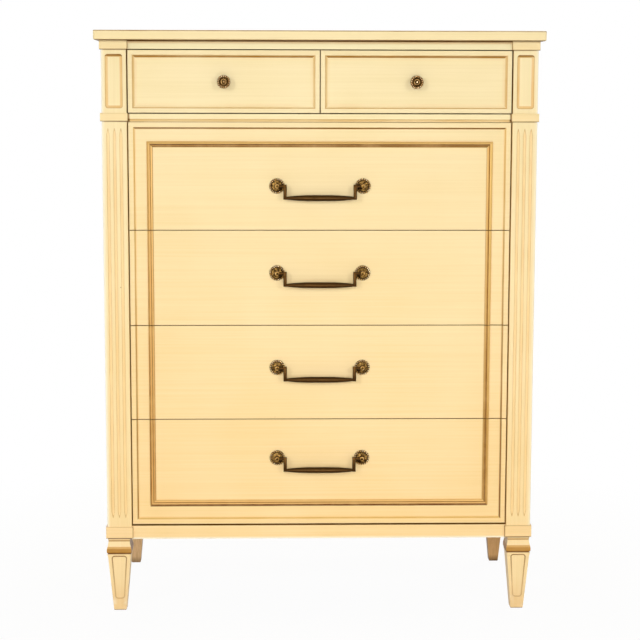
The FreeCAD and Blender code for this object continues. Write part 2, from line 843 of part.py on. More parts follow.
def make_wide_drawer(number, level, level_above, z_lines, gaps, pull_rise):
    has_top, has_foot = number == 1, number == 4
    z_span = (z_lines[0] + gaps[0] / 2, z_lines[1] - gaps[1] / 2)
    field_y = front_y + wide_recess
    front = block((-front_edge, front_edge), (front_y, front_back_y), z_span)
    front = soften_front_edges(front, edge_radius)
    lip_x = front_edge - wide_lip
    low = z_span[0] + wide_lip if has_foot else z_span[0] - cut_overrun
    high = z_span[1] - wide_lip if has_top else z_span[1] + cut_overrun
    low_field = low + wide_slope if has_foot else low
    high_field = high - wide_slope if has_top else high
    front = front.cut(Part.makeWedge(
        -lip_x, front_y, low, low_field, wide_slope - lip_x,
        lip_x, field_y, high, high_field, lip_x - wide_slope))

    box = DrawerBox((-box_outer, box_outer), level, level_above)
    field_low = z_lines[0] + (moulding_inset + moulding_width if has_foot else 0)
    field_high = z_lines[1] - (moulding_inset + moulding_width if has_top else 0)
    pull_z = (field_low + field_high) / 2 + pull_rise
    front = box.cut_front(front)
    posts, screws = [], []
    for x in (-pull_boring / 2, pull_boring / 2):
        front = front.cut(screw_bore(x, pull_z, field_y))
        posts.append(make_pull_post(x, pull_z, field_y))
        screws.append(make_screw(x, pull_z, field_y))

    node = "drawer_" + str(number)
    save(node + "_front", [front])
    save_box(node, box)
    save(node + "_moulding", make_moulding(z_span, field_y, has_top, has_foot))
    save(node + "_pull_posts", posts + screws)
    save(node + "_bail", [make_bail(pull_z, field_y)])


# Carcass

save("top_slab", [make_slab()])
save("frieze_rail", [make_frieze_rail()])
save("mid_rail", [make_mid_rail()])
save("base_rail", [make_base_rail()])
save("back_panel", [make_back_panel()])
side_panel = make_side_panel()
save("side_panel_right", [side_panel])
save("side_panel_left", [mirrored(side_panel)])
post = make_post()
save("front_post_right", [post])
save("front_post_left", [mirrored(post)])
capital = make_post_block((frieze_line, slab_bottom), capital_proud, face_y + frieze_setback)
collar = make_post_block((shaft_top, collar_top), collar_proud, face_y + mid_rail_setback)
plinth = make_post_block((leg_height, plinth_top), plinth_proud, face_y + base_rail_setback)
save("capital_blocks", both_sides(capital))
save("collar_blocks", both_sides(collar))
save("plinth_blocks", both_sides(plinth))
front_leg = make_front_leg()
save("front_leg_right", [front_leg])
save("front_leg_left", [mirrored(front_leg)])
rear_leg = make_rear_leg()
save("rear_leg_right", [rear_leg])
save("rear_leg_left", [mirrored(rear_leg)])
save("corner_blocks", make_corner_blocks())
save("centre_partition", [make_partition()])
frame_rails, drawer_runners, guide_strips, dust_panels = make_frames()
save("frame_rails", frame_rails)
save("drawer_runners", drawer_runners)
save("guide_strips", guide_strips)
save("dust_panels", dust_panels)

# Drawers

make_small_drawer("right", lambda shape: shape)
make_small_drawer("left", mirrored)
make_wide_drawer(1, "one", "mid", (line_one, mid_line_foot), (row_gap, rail_gap), pull_rise_top_row)
make_wide_drawer(2, "two", "one", (line_two, line_one), (row_gap, row_gap), pull_rise_middle_rows)
make_wide_drawer(3, "three", "two", (line_three, line_two), (row_gap, row_gap), pull_rise_middle_rows)
make_wide_drawer(4, "base", "three", (base_line, line_three), (base_gap, row_gap), pull_rise_bottom_row)
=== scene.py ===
import math
import random

import bmesh
import bpy
from mathutils import Matrix, Vector


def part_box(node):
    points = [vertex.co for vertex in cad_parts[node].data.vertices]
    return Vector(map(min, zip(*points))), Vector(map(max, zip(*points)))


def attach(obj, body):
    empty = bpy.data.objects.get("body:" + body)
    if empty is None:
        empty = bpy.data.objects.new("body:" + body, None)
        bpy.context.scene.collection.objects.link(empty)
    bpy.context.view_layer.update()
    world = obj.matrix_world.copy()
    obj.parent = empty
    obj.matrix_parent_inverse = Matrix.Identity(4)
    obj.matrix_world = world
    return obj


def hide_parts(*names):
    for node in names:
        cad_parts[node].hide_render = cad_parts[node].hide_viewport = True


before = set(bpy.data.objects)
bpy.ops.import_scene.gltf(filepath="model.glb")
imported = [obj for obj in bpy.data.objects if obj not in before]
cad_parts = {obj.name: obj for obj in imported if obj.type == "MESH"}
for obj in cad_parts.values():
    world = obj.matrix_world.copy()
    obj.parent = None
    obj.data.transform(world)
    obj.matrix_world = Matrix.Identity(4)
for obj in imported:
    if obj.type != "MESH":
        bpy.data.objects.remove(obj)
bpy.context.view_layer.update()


# Top slab
# One thick board of lacquered hardwood, screwed up from below through the top frame.
# Cream lacquer brushed along the grain, with brown glaze rubbed into its upper arris, glaze and painted shade
# along its lower arris, and painted shade on the faces looking down.

mm = 0.001


def paint(red, green, blue):
    """A colour read as it shows on the piece, made linear for the shader."""
    shares = [value / 255 for value in (red, green, blue)]
    linear = [share / 12.92 if share <= 0.04045 else ((share + 0.055) / 1.055) ** 2.4 for share in shares]
    return (*linear, 1.0)


class Finish:
    """A finish under way: its nodes, and where a point lies on the piece and which way it faces."""

    def __init__(self, name, tree=None):
        if tree is None:
            self.material = bpy.data.materials.new(name)
            self.material.use_nodes = True
            tree = self.material.node_tree
            self.shader = tree.nodes["Principled BSDF"]
        self.tree = tree
        place = self.add("TexCoord", {})
        self.place = place.outputs["Object"]
        self.x, self.y, self.z = self.add("SeparateXYZ", {0: self.place}).outputs
        normal = self.add("SeparateXYZ", {0: place.outputs["Normal"]})
        self.facing_x, self.facing_y, self.facing_z = normal.outputs

    def add(self, kind, inputs, **settings):
        made = self.tree.nodes.new("ShaderNode" + kind)
        for name, value in settings.items():
            setattr(made, name, value)
        for key, value in inputs.items():
            if isinstance(value, bpy.types.NodeSocket):
                self.tree.links.new(value, made.inputs[key])
            else:
                made.inputs[key].default_value = value
        return made

    def reckon(self, operation, *values):
        return self.add("Math", dict(enumerate(values)), operation=operation).outputs[0]

    def rise(self, value, start, end, low=0.0, high=1.0):
        """low where value is at start, high where it is at end, and held beyond them."""
        limits = {"Value": value, "From Min": start, "From Max": end, "To Min": low, "To Max": high}
        return self.add("MapRange", limits).outputs[0]

    def both(self, *masks):
        """Where all masks hold, each given as a socket or as a share of 1."""
        total = masks[0]
        for mask in masks[1:]:
            total = self.reckon("MULTIPLY", total, mask)
        return total

    def band(self, value, low, high, soft):
        """1 where value lies between low and high, fading over soft on each side."""
        return self.both(self.rise(value, low - soft, low + soft), self.rise(value, high + soft, high - soft))

    def mix(self, share, plain, tinted):
        return self.add("Mix", {0: share, 6: plain, 7: tinted}, data_type="RGBA").outputs[2]

    def noise(self, scale, detail=2.0, roughness=0.5, stretch=None):
        place = self.place
        if stretch is not None:
            place = self.add("Mapping", {"Vector": place, "Scale": stretch}).outputs[0]
        settings = {"Vector": place, "Scale": scale, "Detail": detail, "Roughness": roughness}
        return self.add("TexNoise", settings).outputs[0]

    def effect(self, group, **inputs):
        """Places a shared effect with this finish's own values and gives its outputs."""
        made = self.add("Group", {}, node_tree=group)
        for name, value in inputs.items():
            if isinstance(value, bpy.types.NodeSocket):
                self.tree.links.new(value, made.inputs[name])
            else:
                made.inputs[name].default_value = value
        return made.outputs

    def complete(self, colour, roughness=0.45, height=None, depth=0.1 * mm, metallic=0.0, shine=0.3):
        """Joins colour, gloss and surface relief to the shader."""
        self.shader.inputs["Specular IOR Level"].default_value = shine
        for name, value in (("Base Color", colour), ("Roughness", roughness), ("Metallic", metallic)):
            if isinstance(value, bpy.types.NodeSocket):
                self.tree.links.new(value, self.shader.inputs[name])
            else:
                self.shader.inputs[name].default_value = value
        if height is not None:
            bump = self.add("Bump", {"Height": height, "Distance": depth})
            self.tree.links.new(bump.outputs[0], self.shader.inputs["Normal"])
        return self


def start_effect(name, inputs, outputs):
    """An empty shared effect, the outputs of its input node and the inputs of its output node."""
    group = bpy.data.node_groups.new(name, "ShaderNodeTree")
    for socket, kind, value in inputs:
        made = group.interface.new_socket(name=socket, in_out="INPUT", socket_type="NodeSocket" + kind)
        made.default_value = value
    for socket, kind in outputs:
        group.interface.new_socket(name=socket, in_out="OUTPUT", socket_type="NodeSocket" + kind)
    given = group.nodes.new("NodeGroupInput").outputs
    result = group.nodes.new("NodeGroupOutput").inputs
    return group, given, result


def make_brushed_lacquer():
    """Cream lacquer with faint brush streaks, soft clouding and a few tiny dark specks."""
    speck_scale, speck_radius, speck_share = 21.0, 0.035, 0.80
    group, given, result = start_effect(
        "brushed_lacquer",
        [("Cream", "Color", (1, 1, 1, 1)), ("Foot_cream", "Color", (1, 1, 1, 1)),
         ("Height_span", "Float", 1.0), ("Streaks", "Vector", (1, 1, 1)), ("Specks", "Float", 0.5)],
        [("Colour", "Color"), ("Roughness", "Float"), ("Relief", "Float")])
    work = Finish("", group)
    cream = work.mix(work.rise(work.z, 0.0, given["Height_span"]), given["Foot_cream"], given["Cream"])
    streaked = work.add("Mapping", {"Vector": work.place, "Scale": given["Streaks"]}).outputs[0]
    streak_shape = {"Vector": streaked, "Scale": 1.0, "Detail": 5.0, "Roughness": 0.65}
    fine = work.add("TexNoise", streak_shape).outputs[0]
    cloud = work.noise(4.5, 2.0)
    warm = work.add("HueSaturation", {"Color": cream, "Saturation": 1.05, "Value": 0.975}).outputs[0]
    cream = work.mix(work.rise(cloud, 0.36, 0.66), cream, warm)
    deep = work.add("HueSaturation", {"Color": cream, "Saturation": 1.05, "Value": 0.965}).outputs[0]
    cream = work.mix(work.rise(fine, 0.36, 0.64), cream, deep)
    cells = work.add("TexVoronoi", {"Vector": work.place, "Scale": speck_scale})
    chosen = work.rise(work.add("SeparateColor", {0: cells.outputs["Color"]}).outputs[0],
                       speck_share, speck_share + 0.01)
    spot = work.rise(cells.outputs["Distance"], speck_radius, speck_radius * 0.5)
    marks = work.both(spot, chosen, given["Specks"])
    cream = work.mix(marks, cream, paint(150, 108, 58))
    work.tree.links.new(cream, result["Colour"])
    work.tree.links.new(work.rise(fine, 0.3, 0.7, 0.36, 0.5), result["Roughness"])
    work.tree.links.new(fine, result["Relief"])
    return group


def make_glaze_and_shade():
    """Brown glaze wiped over the lacquer, and painted shade laid the same way: it stays where the mask says,
    thicker in some places.
    """
    group, given, result = start_effect(
        "glaze_and_shade",
        [("Colour", "Color", (1, 1, 1, 1)), ("Glaze", "Color", (0, 0, 0, 1)),
         ("Where", "Float", 0.0), ("Unevenness", "Float", 0.4)],
        [("Colour", "Color")])
    work = Finish("", group)
    patches = work.rise(work.noise(9.0, 3.0, 0.6), 0.62, 0.38)
    thin = work.reckon("MULTIPLY", patches, given["Unevenness"])
    kept = work.reckon("SUBTRACT", 1.0, thin)
    where = work.both(given["Where"], kept)
    work.tree.links.new(work.mix(where, given["Colour"], given["Glaze"]), result["Colour"])
    return group


brushed_lacquer = make_brushed_lacquer()
glaze_and_shade = make_glaze_and_shade()
along_x = (2.0, 60.0, 210.0)
brown_glaze = paint(154, 108, 42)
case_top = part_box("top_slab")[1].z


class Lacquer(Finish):
    """Cream lacquer, from one cream at the top of the case to another at the floor."""

    def __init__(self, name, cream, foot_cream=None, streaks=along_x, specks=0.55):
        super().__init__(name)
        made = self.effect(brushed_lacquer, Cream=cream, Foot_cream=foot_cream or cream,
                           Height_span=case_top, Streaks=streaks, Specks=specks)
        self.colour, self.gloss, self.relief = made

    # Lays glaze where the mask says; the same step also paints shade.
    def glaze(self, where, glaze=brown_glaze, unevenness=0.4):
        self.colour = self.effect(glaze_and_shade, Colour=self.colour, Glaze=glaze, Where=where,
                                  Unevenness=unevenness)[0]

    def depth_behind(self, front):
        return self.reckon("SUBTRACT", self.y, front)

    def dull(self, where):
        """Bare wood, glaze and faces painted as shade have no gloss where the mask says."""
        self.gloss = self.reckon("MAXIMUM", self.gloss, where)

    def finish(self):
        return self.complete(self.colour, self.gloss, self.relief, 0.04 * mm, shine=0.22)


def dress(finish, *nodes):
    """Gives the construction's own pieces this finish."""
    for node in nodes:
        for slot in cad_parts[node].material_slots:
            slot.material = finish.material


def make_slab_finish():
    low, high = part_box("top_slab")
    slab = Lacquer("slab_lacquer", paint(255, 235, 186), specks=0.5)
    upright = slab.rise(slab.facing_z, 0.93, 0.6)
    upper_arris = slab.rise(slab.z, high.z - 2.8 * mm, high.z - 1.4 * mm)
    lower_arris_glaze_and_shade = slab.rise(slab.z, low.z + 1.9 * mm, low.z + 0.9 * mm)
    shaded_underside = slab.rise(slab.facing_z, -0.6, -0.95)
    slab.glaze(slab.both(upper_arris, upright), paint(140, 100, 42), 0.25)
    # Glaze and painted shade along the lower arris, and painted shade on the faces looking down.
    slab.glaze(slab.both(lower_arris_glaze_and_shade, 0.8), paint(120, 80, 24), 0.2)
    slab.glaze(shaded_underside, paint(112, 74, 22), 0.2)
    return slab.finish()


dress(make_slab_finish(), "top_slab")


# Front posts
# Two solid lacquered pilasters, glued to the front edges of the side panels.
# Each has a sunk panel cut into its head and three flutes down its shaft, toned with glaze and painted shade,
# and a painted highlight runs along its outer edge.

along_z = (210.0, 60.0, 2.0)


def make_post_finish():
    low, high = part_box("front_post_right")
    shaft_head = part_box("collar_blocks")[0].z
    panel_floor, joint_line, highlight_width = 2.99 * mm, 1.4 * mm, 6.5 * mm
    post = Lacquer("post_lacquer", paint(255, 237, 190), paint(252, 222, 166), along_z, 0.75)
    depth = post.depth_behind(low.y)
    from_middle = post.reckon("ABSOLUTE", post.x)
    front_half = post.rise(depth, 6 * mm, 4 * mm)
    shaft = post.rise(post.z, shaft_head, shaft_head - 1 * mm)
    head = post.reckon("SUBTRACT", 1.0, shaft)

    # Peach painted shade in the flute hollows, heavier toward the top; glaze along the flute edges.
    flute_hollow_shade = post.both(post.rise(depth, 0.3 * mm, 0.9 * mm), shaft, front_half)
    flute_edges = post.both(post.band(depth, 0.1 * mm, 0.95 * mm, 0.1 * mm), shaft, front_half)
    post.glaze(post.both(flute_hollow_shade, post.rise(post.z, high.z, low.z, 0.5, 0.2)), paint(242, 194, 128), 0.5)
    post.glaze(post.both(flute_edges, post.rise(post.z, high.z, low.z, 0.62, 0.9)), paint(206, 160, 92), 0.5)

    panel_sides = post.rise(depth, panel_floor, panel_floor - 0.06 * mm)
    hollow = post.both(post.rise(depth, 0.15 * mm, 0.45 * mm), panel_sides, head)
    contour = post.both(post.band(depth, 0.15 * mm, 1.5 * mm, 0.15 * mm), head)
    # The panel's top wall faces down and is painted dark as shade.
    shaded_ceiling = post.both(hollow, post.rise(post.facing_z, -0.03, -0.18))
    ceiling_shade_colour = post.mix(post.rise(depth, 0.9 * mm, 2.4 * mm), paint(140, 94, 26), paint(158, 112, 42))
    post.glaze(post.both(hollow, 0.9), paint(236, 190, 118), 0.3)
    post.glaze(post.both(contour, post.rise(post.x, -0.1, 0.1, 0.75, 0.9)), paint(200, 154, 78), 0.4)
    post.glaze(shaded_ceiling, ceiling_shade_colour, 0.15)

    for edge in (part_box("capital_blocks")[0].z, shaft_head):
        under_block = post.band(post.z, edge - joint_line, edge, 0.5 * mm)
        post.glaze(post.both(under_block, 0.8), brown_glaze, 0.3)
    # Painted highlight: the outer edge of each post's front face is lightened, more on the left post.
    highlight_edge = post.rise(from_middle, high.x - highlight_width, high.x - 1.5 * mm)
    pale = post.both(highlight_edge, post.rise(post.facing_y, -0.1, -0.5),
                     post.rise(post.x, 0.1, -0.1, 0.45, 0.8))
    post.colour = post.mix(pale, post.colour, paint(255, 248, 226))
    # The inner flank, seen in the gap beside the drawers, is painted dark as shade.
    inner = post.rise(from_middle, low.x + 0.7 * mm, low.x + 0.2 * mm)
    post.glaze(inner, post.mix(head, paint(216, 168, 98), paint(150, 104, 44)), 0.2)
    post.dull(inner)
    return post.finish()


dress(make_post_finish(), "front_post_left", "front_post_right")


# Capital, collar and plinth blocks
# Thin lacquered blocks glued round each post, under the slab, at the middle rail and at the leg.
# Glaze sits in the joints along their upper and lower edges.

shadow_brown = paint(84, 54, 16)


def make_block_finish(node, cream, foot_line, head_line):
    low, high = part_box(node)
    inner_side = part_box("front_post_right")[0].x - 2.6 * mm
    block = Lacquer(node.replace("blocks", "lacquer"), cream, specks=0.7)
    foot = block.rise(block.z, low.z + 1.8 * mm, low.z + 0.6 * mm)
    head = block.rise(block.z, high.z - 1.3 * mm, high.z - 0.4 * mm)
    block.glaze(block.both(foot, foot_line), paint(136, 92, 34), 0.3)
    block.glaze(block.both(head, head_line), brown_glaze, 0.4)
    inner = block.rise(block.reckon("ABSOLUTE", block.x), inner_side + 1.3 * mm, inner_side + 0.5 * mm)
    block.glaze(block.both(inner, 0.85), paint(146, 100, 40), 0.3)
    block.dull(inner)
    block.glaze(block.rise(block.facing_z, -0.5, -0.9), shadow_brown, 0.2)
    return block.finish()


dress(make_block_finish("capital_blocks", paint(255, 232, 180), 0.85, 0.5), "capital_blocks")
dress(make_block_finish("collar_blocks", paint(254, 229, 176), 0.8, 0.1), "collar_blocks")
dress(make_block_finish("plinth_blocks", paint(253, 220, 165), 1.0, 0.45), "plinth_blocks")


# Rails across the front
# Lacquered hardwood rails between the posts: a plain frieze, a middle rail with a cove along its
# foot and a base rail. They are glued and doweled to the posts.

shade_umber = paint(92, 58, 10)
# A brown painted as shade on faces inside the gaps and under overhangs.
gap_shade_brown = paint(158, 104, 30)


def make_frieze_finish():
    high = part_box("frieze_rail")[1]
    frieze = Lacquer("frieze_lacquer", paint(255, 241, 195), specks=0.4)
    # Painted shade under the slab: a dark line at the top, partly glaze in the joint, a peach tint below it,
    # and dark faces looking down.
    line = frieze.rise(frieze.z, high.z - 3.0 * mm, high.z - 1.8 * mm)
    shade_below_slab = frieze.rise(frieze.z, high.z - 8 * mm, high.z - 3 * mm, 0, 0.6)
    frieze.glaze(shade_below_slab, paint(255, 206, 134), 0.2)
    shaded_underside = frieze.rise(frieze.facing_z, -0.5, -0.9)
    frieze.glaze(line, paint(98, 56, 0), 0.1)
    frieze.glaze(shaded_underside, gap_shade_brown, 0.1)
    frieze.dull(frieze.reckon("MAXIMUM", line, shaded_underside))
    return frieze.finish()


def make_mid_finish():
    low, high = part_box("mid_rail")
    rail = Lacquer("mid_rail_lacquer", paint(255, 237, 188))
    cove_height = 6.1 * mm
    # Painted shade in the cove, which faces down under the rail, darkest at its top.
    in_cove = rail.rise(rail.z, low.z + cove_height + 0.5 * mm, low.z + cove_height - 0.5 * mm)
    hollow = rail.both(rail.rise(rail.depth_behind(low.y), 0.2 * mm, 0.9 * mm), in_cove)
    shade_toward_top = rail.rise(rail.z, low.z, low.z + 3.5 * mm, 0.55, 0.85)
    rail.glaze(rail.both(hollow, shade_toward_top), paint(224, 182, 112), 0.3)
    ends = rail.rise(rail.reckon("ABSOLUTE", rail.x), high.x - 6.4 * mm, high.x - 4.4 * mm)
    rail.glaze(rail.both(ends, 0.85), brown_glaze, 0.4)
    # Painted shade in the corner where the cove meets the collar block, over the glaze in the joint.
    rail.glaze(rail.both(ends, rail.band(rail.z, low.z + 2 * mm, low.z + 6 * mm, 1.5 * mm)), shade_umber, 0.2)
    # Faces looking up or down into the gaps are painted dark as shade.
    level = rail.rise(rail.reckon("ABSOLUTE", rail.facing_z), 0.9, 0.98)
    rail.glaze(level, gap_shade_brown, 0.1)
    rail.dull(level)
    return rail.finish()


def make_base_finish():
    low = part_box("base_rail")[0]
    rail = Lacquer("base_rail_lacquer", paint(255, 223, 167), specks=0.9)
    # The top face, seen in the gap under the lowest drawer, is painted dark as shade.
    top = rail.rise(rail.facing_z, 0.9, 0.98)
    rail.glaze(top, gap_shade_brown, 0.1)
    rail.dull(top)
    # Paler along the lower edge.
    pale_lower_edge = rail.rise(rail.z, low.z + 5.5 * mm, low.z + 1.5 * mm, 0, 0.8)
    rail.colour = rail.mix(pale_lower_edge, rail.colour, paint(255, 248, 226))
    return rail.finish()


dress(make_frieze_finish(), "frieze_rail")
dress(make_mid_finish(), "mid_rail")
dress(make_base_finish(), "base_rail")


# Front legs
# Square tapered legs of solid wood, lacquered, with a neck, a gilded ovolo and a routed outline.
# A round tenon glues each into its post; the feet are worn white at their corners.

def make_leg_finish():
    low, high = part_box("front_leg_right")
    leg_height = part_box("plinth_blocks")[0].z
    fillet, neck_foot, ovolo_foot, shoulder = (leg_height - drop * mm for drop in (5.0, 18.8, 33.9, 35.9))
    foot_half, taper_half, flare, flare_rise = 14.0 * mm, 25.5 * mm, 9.0 * mm, 0.9 * mm
    leg = Lacquer("leg_lacquer", paint(255, 231, 179), paint(255, 227, 175), along_z, 0.9)

    from_middle = leg.reckon("ABSOLUTE", leg.x)
    across = leg.reckon("ABSOLUTE", leg.reckon("SUBTRACT", from_middle, (low.x + high.x) / 2))
    along = leg.reckon("ABSOLUTE", leg.reckon("SUBTRACT", leg.y, (low.y + high.y) / 2))
    face_half = leg.rise(leg.z, 0.0, shoulder, foot_half, taper_half)
    flared = leg.rise(leg.z, shoulder - flare, shoulder - 1.2 * mm, 0.0, flare_rise)
    face_half = leg.reckon("ADD", face_half, flared)
    sunk = leg.reckon("SUBTRACT", face_half, leg.reckon("MAXIMUM", across, along))
    shaft = leg.rise(leg.z, shoulder + 0.1 * mm, shoulder - 0.4 * mm)
    outline = leg.both(leg.band(sunk, 0.35 * mm, 4 * mm, 0.15 * mm), shaft,
                       leg.rise(leg.z, 50 * mm, shoulder, 0.35, 1.0))
    leg.glaze(leg.both(leg.rise(leg.z, 75 * mm, 20 * mm), 0.35), paint(226, 174, 108), 0.5)
    leg.glaze(leg.rise(leg.z, 2.6 * mm, 1.2 * mm, 0, 0.8), paint(132, 98, 54), 0.3)
    leg.glaze(outline, paint(144, 90, 16), 0.35)

    ovolo = leg.band(leg.z, ovolo_foot - 0.5 * mm, neck_foot - 1.2 * mm, 0.8 * mm)
    # Painted shade: the gilt ovolo's lower half faces down and is darker, with dark lines under the ovolo and
    # the fillet.
    shaded_lower_ovolo = leg.band(leg.z, ovolo_foot - 1.5 * mm, ovolo_foot + 9.6 * mm, 0.7 * mm)
    shade_below_ovolo = leg.band(leg.z, shoulder - 0.3 * mm, ovolo_foot + 1 * mm, 0.5 * mm)
    shade_below_fillet = leg.band(leg.z, fillet - 3.1 * mm, fillet + 0.3 * mm, 0.5 * mm)
    leg.glaze(ovolo, paint(214, 164, 88), 0.15)
    leg.glaze(shaded_lower_ovolo, paint(184, 132, 54), 0.3)
    leg.glaze(shade_below_ovolo, paint(120, 70, 8), 0.2)
    leg.glaze(shade_below_fillet, paint(180, 132, 64), 0.2)
    # A dark line at the top of the leg: glaze in the joint and painted shade under the plinth block.
    leg.glaze(leg.rise(leg.z, leg_height - 3.3 * mm, leg_height - 1.8 * mm), paint(88, 42, 0), 0.2)

    # Painted shade on the inner flank at the neck, darker on the left leg.
    inward = leg.reckon("MULTIPLY", leg.facing_x, leg.rise(leg.x, -0.1, 0.1, 1, -1))
    inner_flank_shade = leg.both(leg.rise(inward, 0.5, 0.9), leg.rise(leg.z, shoulder - 6 * mm, shoulder + 2 * mm))
    leg.glaze(leg.both(inner_flank_shade, leg.rise(leg.x, -0.1, 0.1, 0.95, 0.3)), paint(112, 58, 0), 0.2)
    corner = leg.rise(leg.reckon("ADD", across, along), 21 * mm, 27 * mm)
    chips = leg.rise(leg.noise(55.0, 4.0, 0.7), 0.46, 0.60)
    worn = leg.both(corner, chips, leg.rise(leg.z, 34 * mm, 8 * mm), 0.75)
    leg.colour = leg.mix(worn, leg.colour, paint(252, 240, 220))
    return leg.finish()


dress(make_leg_finish(), "front_leg_left", "front_leg_right")


# Rear legs
# Plain square legs of solid wood, tapered on all sides, lacquered thinly and toned darker, with painted shade
# on the inner flanks, along the right leg's inner edge and at the foot.
# A short round tenon glues each into the corner block behind the side panel.

def make_rear_leg_finish():
    low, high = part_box("rear_leg_right")
    leg = Lacquer("rear_leg_lacquer", paint(255, 234, 198), paint(242, 206, 160), along_z, 0.9)
    grain = leg.noise(1.0, 4.0, 0.7, (330, 330, 7))
    flank = leg.rise(leg.reckon("ABSOLUTE", leg.facing_x), 0.6, 0.9)
    inner_half = leg.rise(leg.reckon("ABSOLUTE", leg.x), high.x - 10 * mm, high.x - 20 * mm)
    inner_edge_shade = leg.band(leg.x, low.x - 5 * mm, low.x + 5 * mm, 2.5 * mm)
    leg.glaze(leg.both(leg.rise(grain, 0.42, 0.62), 0.5), paint(190, 146, 94), 0.1)
    leg.glaze(leg.rise(leg.x, 0.1, 0.2, 0, 0.6), paint(206, 152, 84), 0.1)
    # Painted shade on the inner flanks and along the inner edge, and a dark band of painted shade at the
    # foot.
    leg.glaze(leg.both(flank, inner_half, 0.8), shade_umber, 0.2)
    leg.glaze(leg.both(inner_edge_shade, 0.6), paint(112, 80, 40), 0.3)
    leg.glaze(leg.rise(leg.z, 16 * mm, 3 * mm, 0, 0.8), paint(92, 64, 34), 0.3)
    return leg.finish()


dress(make_rear_leg_finish(), "rear_leg_left", "rear_leg_right")


# Side panels
# Flat veneered panels with upright grain, lacquered outside and bare inside.
# Each is glued to a post in front and rabbeted along its rear edge for the back panel.

def make_side_finish():
    low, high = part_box("side_panel_right")
    side = Lacquer("side_lacquer", paint(252, 226, 172), paint(248, 214, 154), along_z, 0.7)
    outside = side.rise(side.reckon("ABSOLUTE", side.x), high.x - 1.2 * mm, high.x - 0.6 * mm)
    front_joint = side.rise(side.y, low.y + 3 * mm, low.y + 0.5 * mm)
    top_joint = side.rise(side.z, high.z - 3 * mm, high.z - 0.5 * mm)
    side.glaze(side.both(outside, front_joint, 0.7), brown_glaze, 0.4)
    side.glaze(side.both(outside, top_joint, 0.7), brown_glaze, 0.4)
    bare = side.reckon("SUBTRACT", 1.0, outside)
    side.colour = side.mix(bare, side.colour, paint(190, 152, 104))
    return side.finish()


dress(make_side_finish(), "side_panel_left", "side_panel_right")


# Back panel and dust panels
# Thin brown hardboard, smooth on its face. The back is nailed into the rabbets of the sides,
# and the dust panels lie in the grooves of the frames between the drawers.

def make_hardboard_finish():
    board = Finish("hardboard")
    fibres = board.noise(160.0, 6.0, 0.7)
    cloud = board.noise(5.0, 3.0, 0.6)
    colour = board.mix(board.rise(fibres, 0.3, 0.7), paint(112, 80, 52), paint(140, 104, 70))
    colour = board.mix(board.rise(cloud, 0.35, 0.7, 0, 0.35), colour, paint(92, 64, 42))
    return board.complete(colour, board.rise(cloud, 0.3, 0.7, 0.55, 0.72), fibres, 0.15 * mm)


dress(make_hardboard_finish(), "back_panel", "dust_panels")


# Inner frames
# Planed, unfinished poplar: rails, runners, guide strips, the partition and the corner blocks.
# The rails and runners are glued into frames, and the frames into the sides.

def make_wood_grain():
    """Straight-grained wood: growth bands and pores drawn out along the grain."""
    group, given, result = start_effect(
        "wood_grain",
        [("Light", "Color", (1, 1, 1, 1)), ("Dark", "Color", (0, 0, 0, 1)), ("Grain", "Vector", (1, 1, 1))],
        [("Colour", "Color"), ("Relief", "Float")])
    work = Finish("", group)
    drawn = work.add("Mapping", {"Vector": work.place, "Scale": given["Grain"]}).outputs[0]
    bands = work.add("TexNoise", {"Vector": drawn, "Scale": 1.0, "Detail": 3.0, "Distortion": 1.2}).outputs[0]
    pores = work.add("TexNoise", {"Vector": drawn, "Scale": 6.0, "Detail": 4.0, "Roughness": 0.7}).outputs[0]
    both = work.reckon("ADD", work.reckon("MULTIPLY", bands, 0.65), work.reckon("MULTIPLY", pores, 0.35))
    colour = work.mix(work.rise(both, 0.34, 0.66), given["Light"], given["Dark"])
    work.tree.links.new(colour, result["Colour"])
    work.tree.links.new(pores, result["Relief"])
    return group


wood_grain = make_wood_grain()


def make_wood_finish(name, light, dark, grain, roughness):
    wood = Finish(name)
    colour, relief = wood.effect(wood_grain, Light=light, Dark=dark, Grain=grain)
    return wood.complete(colour, roughness, relief, 0.08 * mm)


poplar_light, poplar_dark = paint(206, 176, 130), paint(164, 130, 88)
dress(make_wood_finish("poplar_along_x", poplar_light, poplar_dark, (1.5, 26, 26), 0.7), "frame_rails")
dress(make_wood_finish("poplar_along_y", poplar_light, poplar_dark, (26, 1.5, 26), 0.7),
      "drawer_runners", "guide_strips")
dress(make_wood_finish("poplar_along_z", poplar_light, poplar_dark, (26, 26, 1.5), 0.7),
      "centre_partition", "corner_blocks")


# Small drawer fronts
# Solid fronts with a sunk field and a coved border, lacquered on the face and bare behind.
# Glaze lies in the cove, with painted light by facing: darkest on the top wall, which faces down, medium at
# the sides, a lighter tan line at the foot, and a soft band of painted shade along it.

bare_light, bare_dark = paint(214, 180, 128), paint(176, 138, 88)


def leave_bare(front):
    """The back of a drawer front is sealed wood, and its edges in the gaps are painted dark as shade."""
    wood = front.effect(wood_grain, Light=bare_light, Dark=bare_dark, Grain=(1.5, 26.0, 26.0))[0]
    edges = front.both(front.rise(front.reckon("ABSOLUTE", front.facing_y), 0.3, 0.1), front.gap_side)
    front.colour = front.mix(front.both(edges, 0.9), front.colour, gap_shade_brown)
    front.dull(edges)
    front.colour = front.mix(front.rise(front.facing_y, 0.5, 0.8), front.colour, wood)


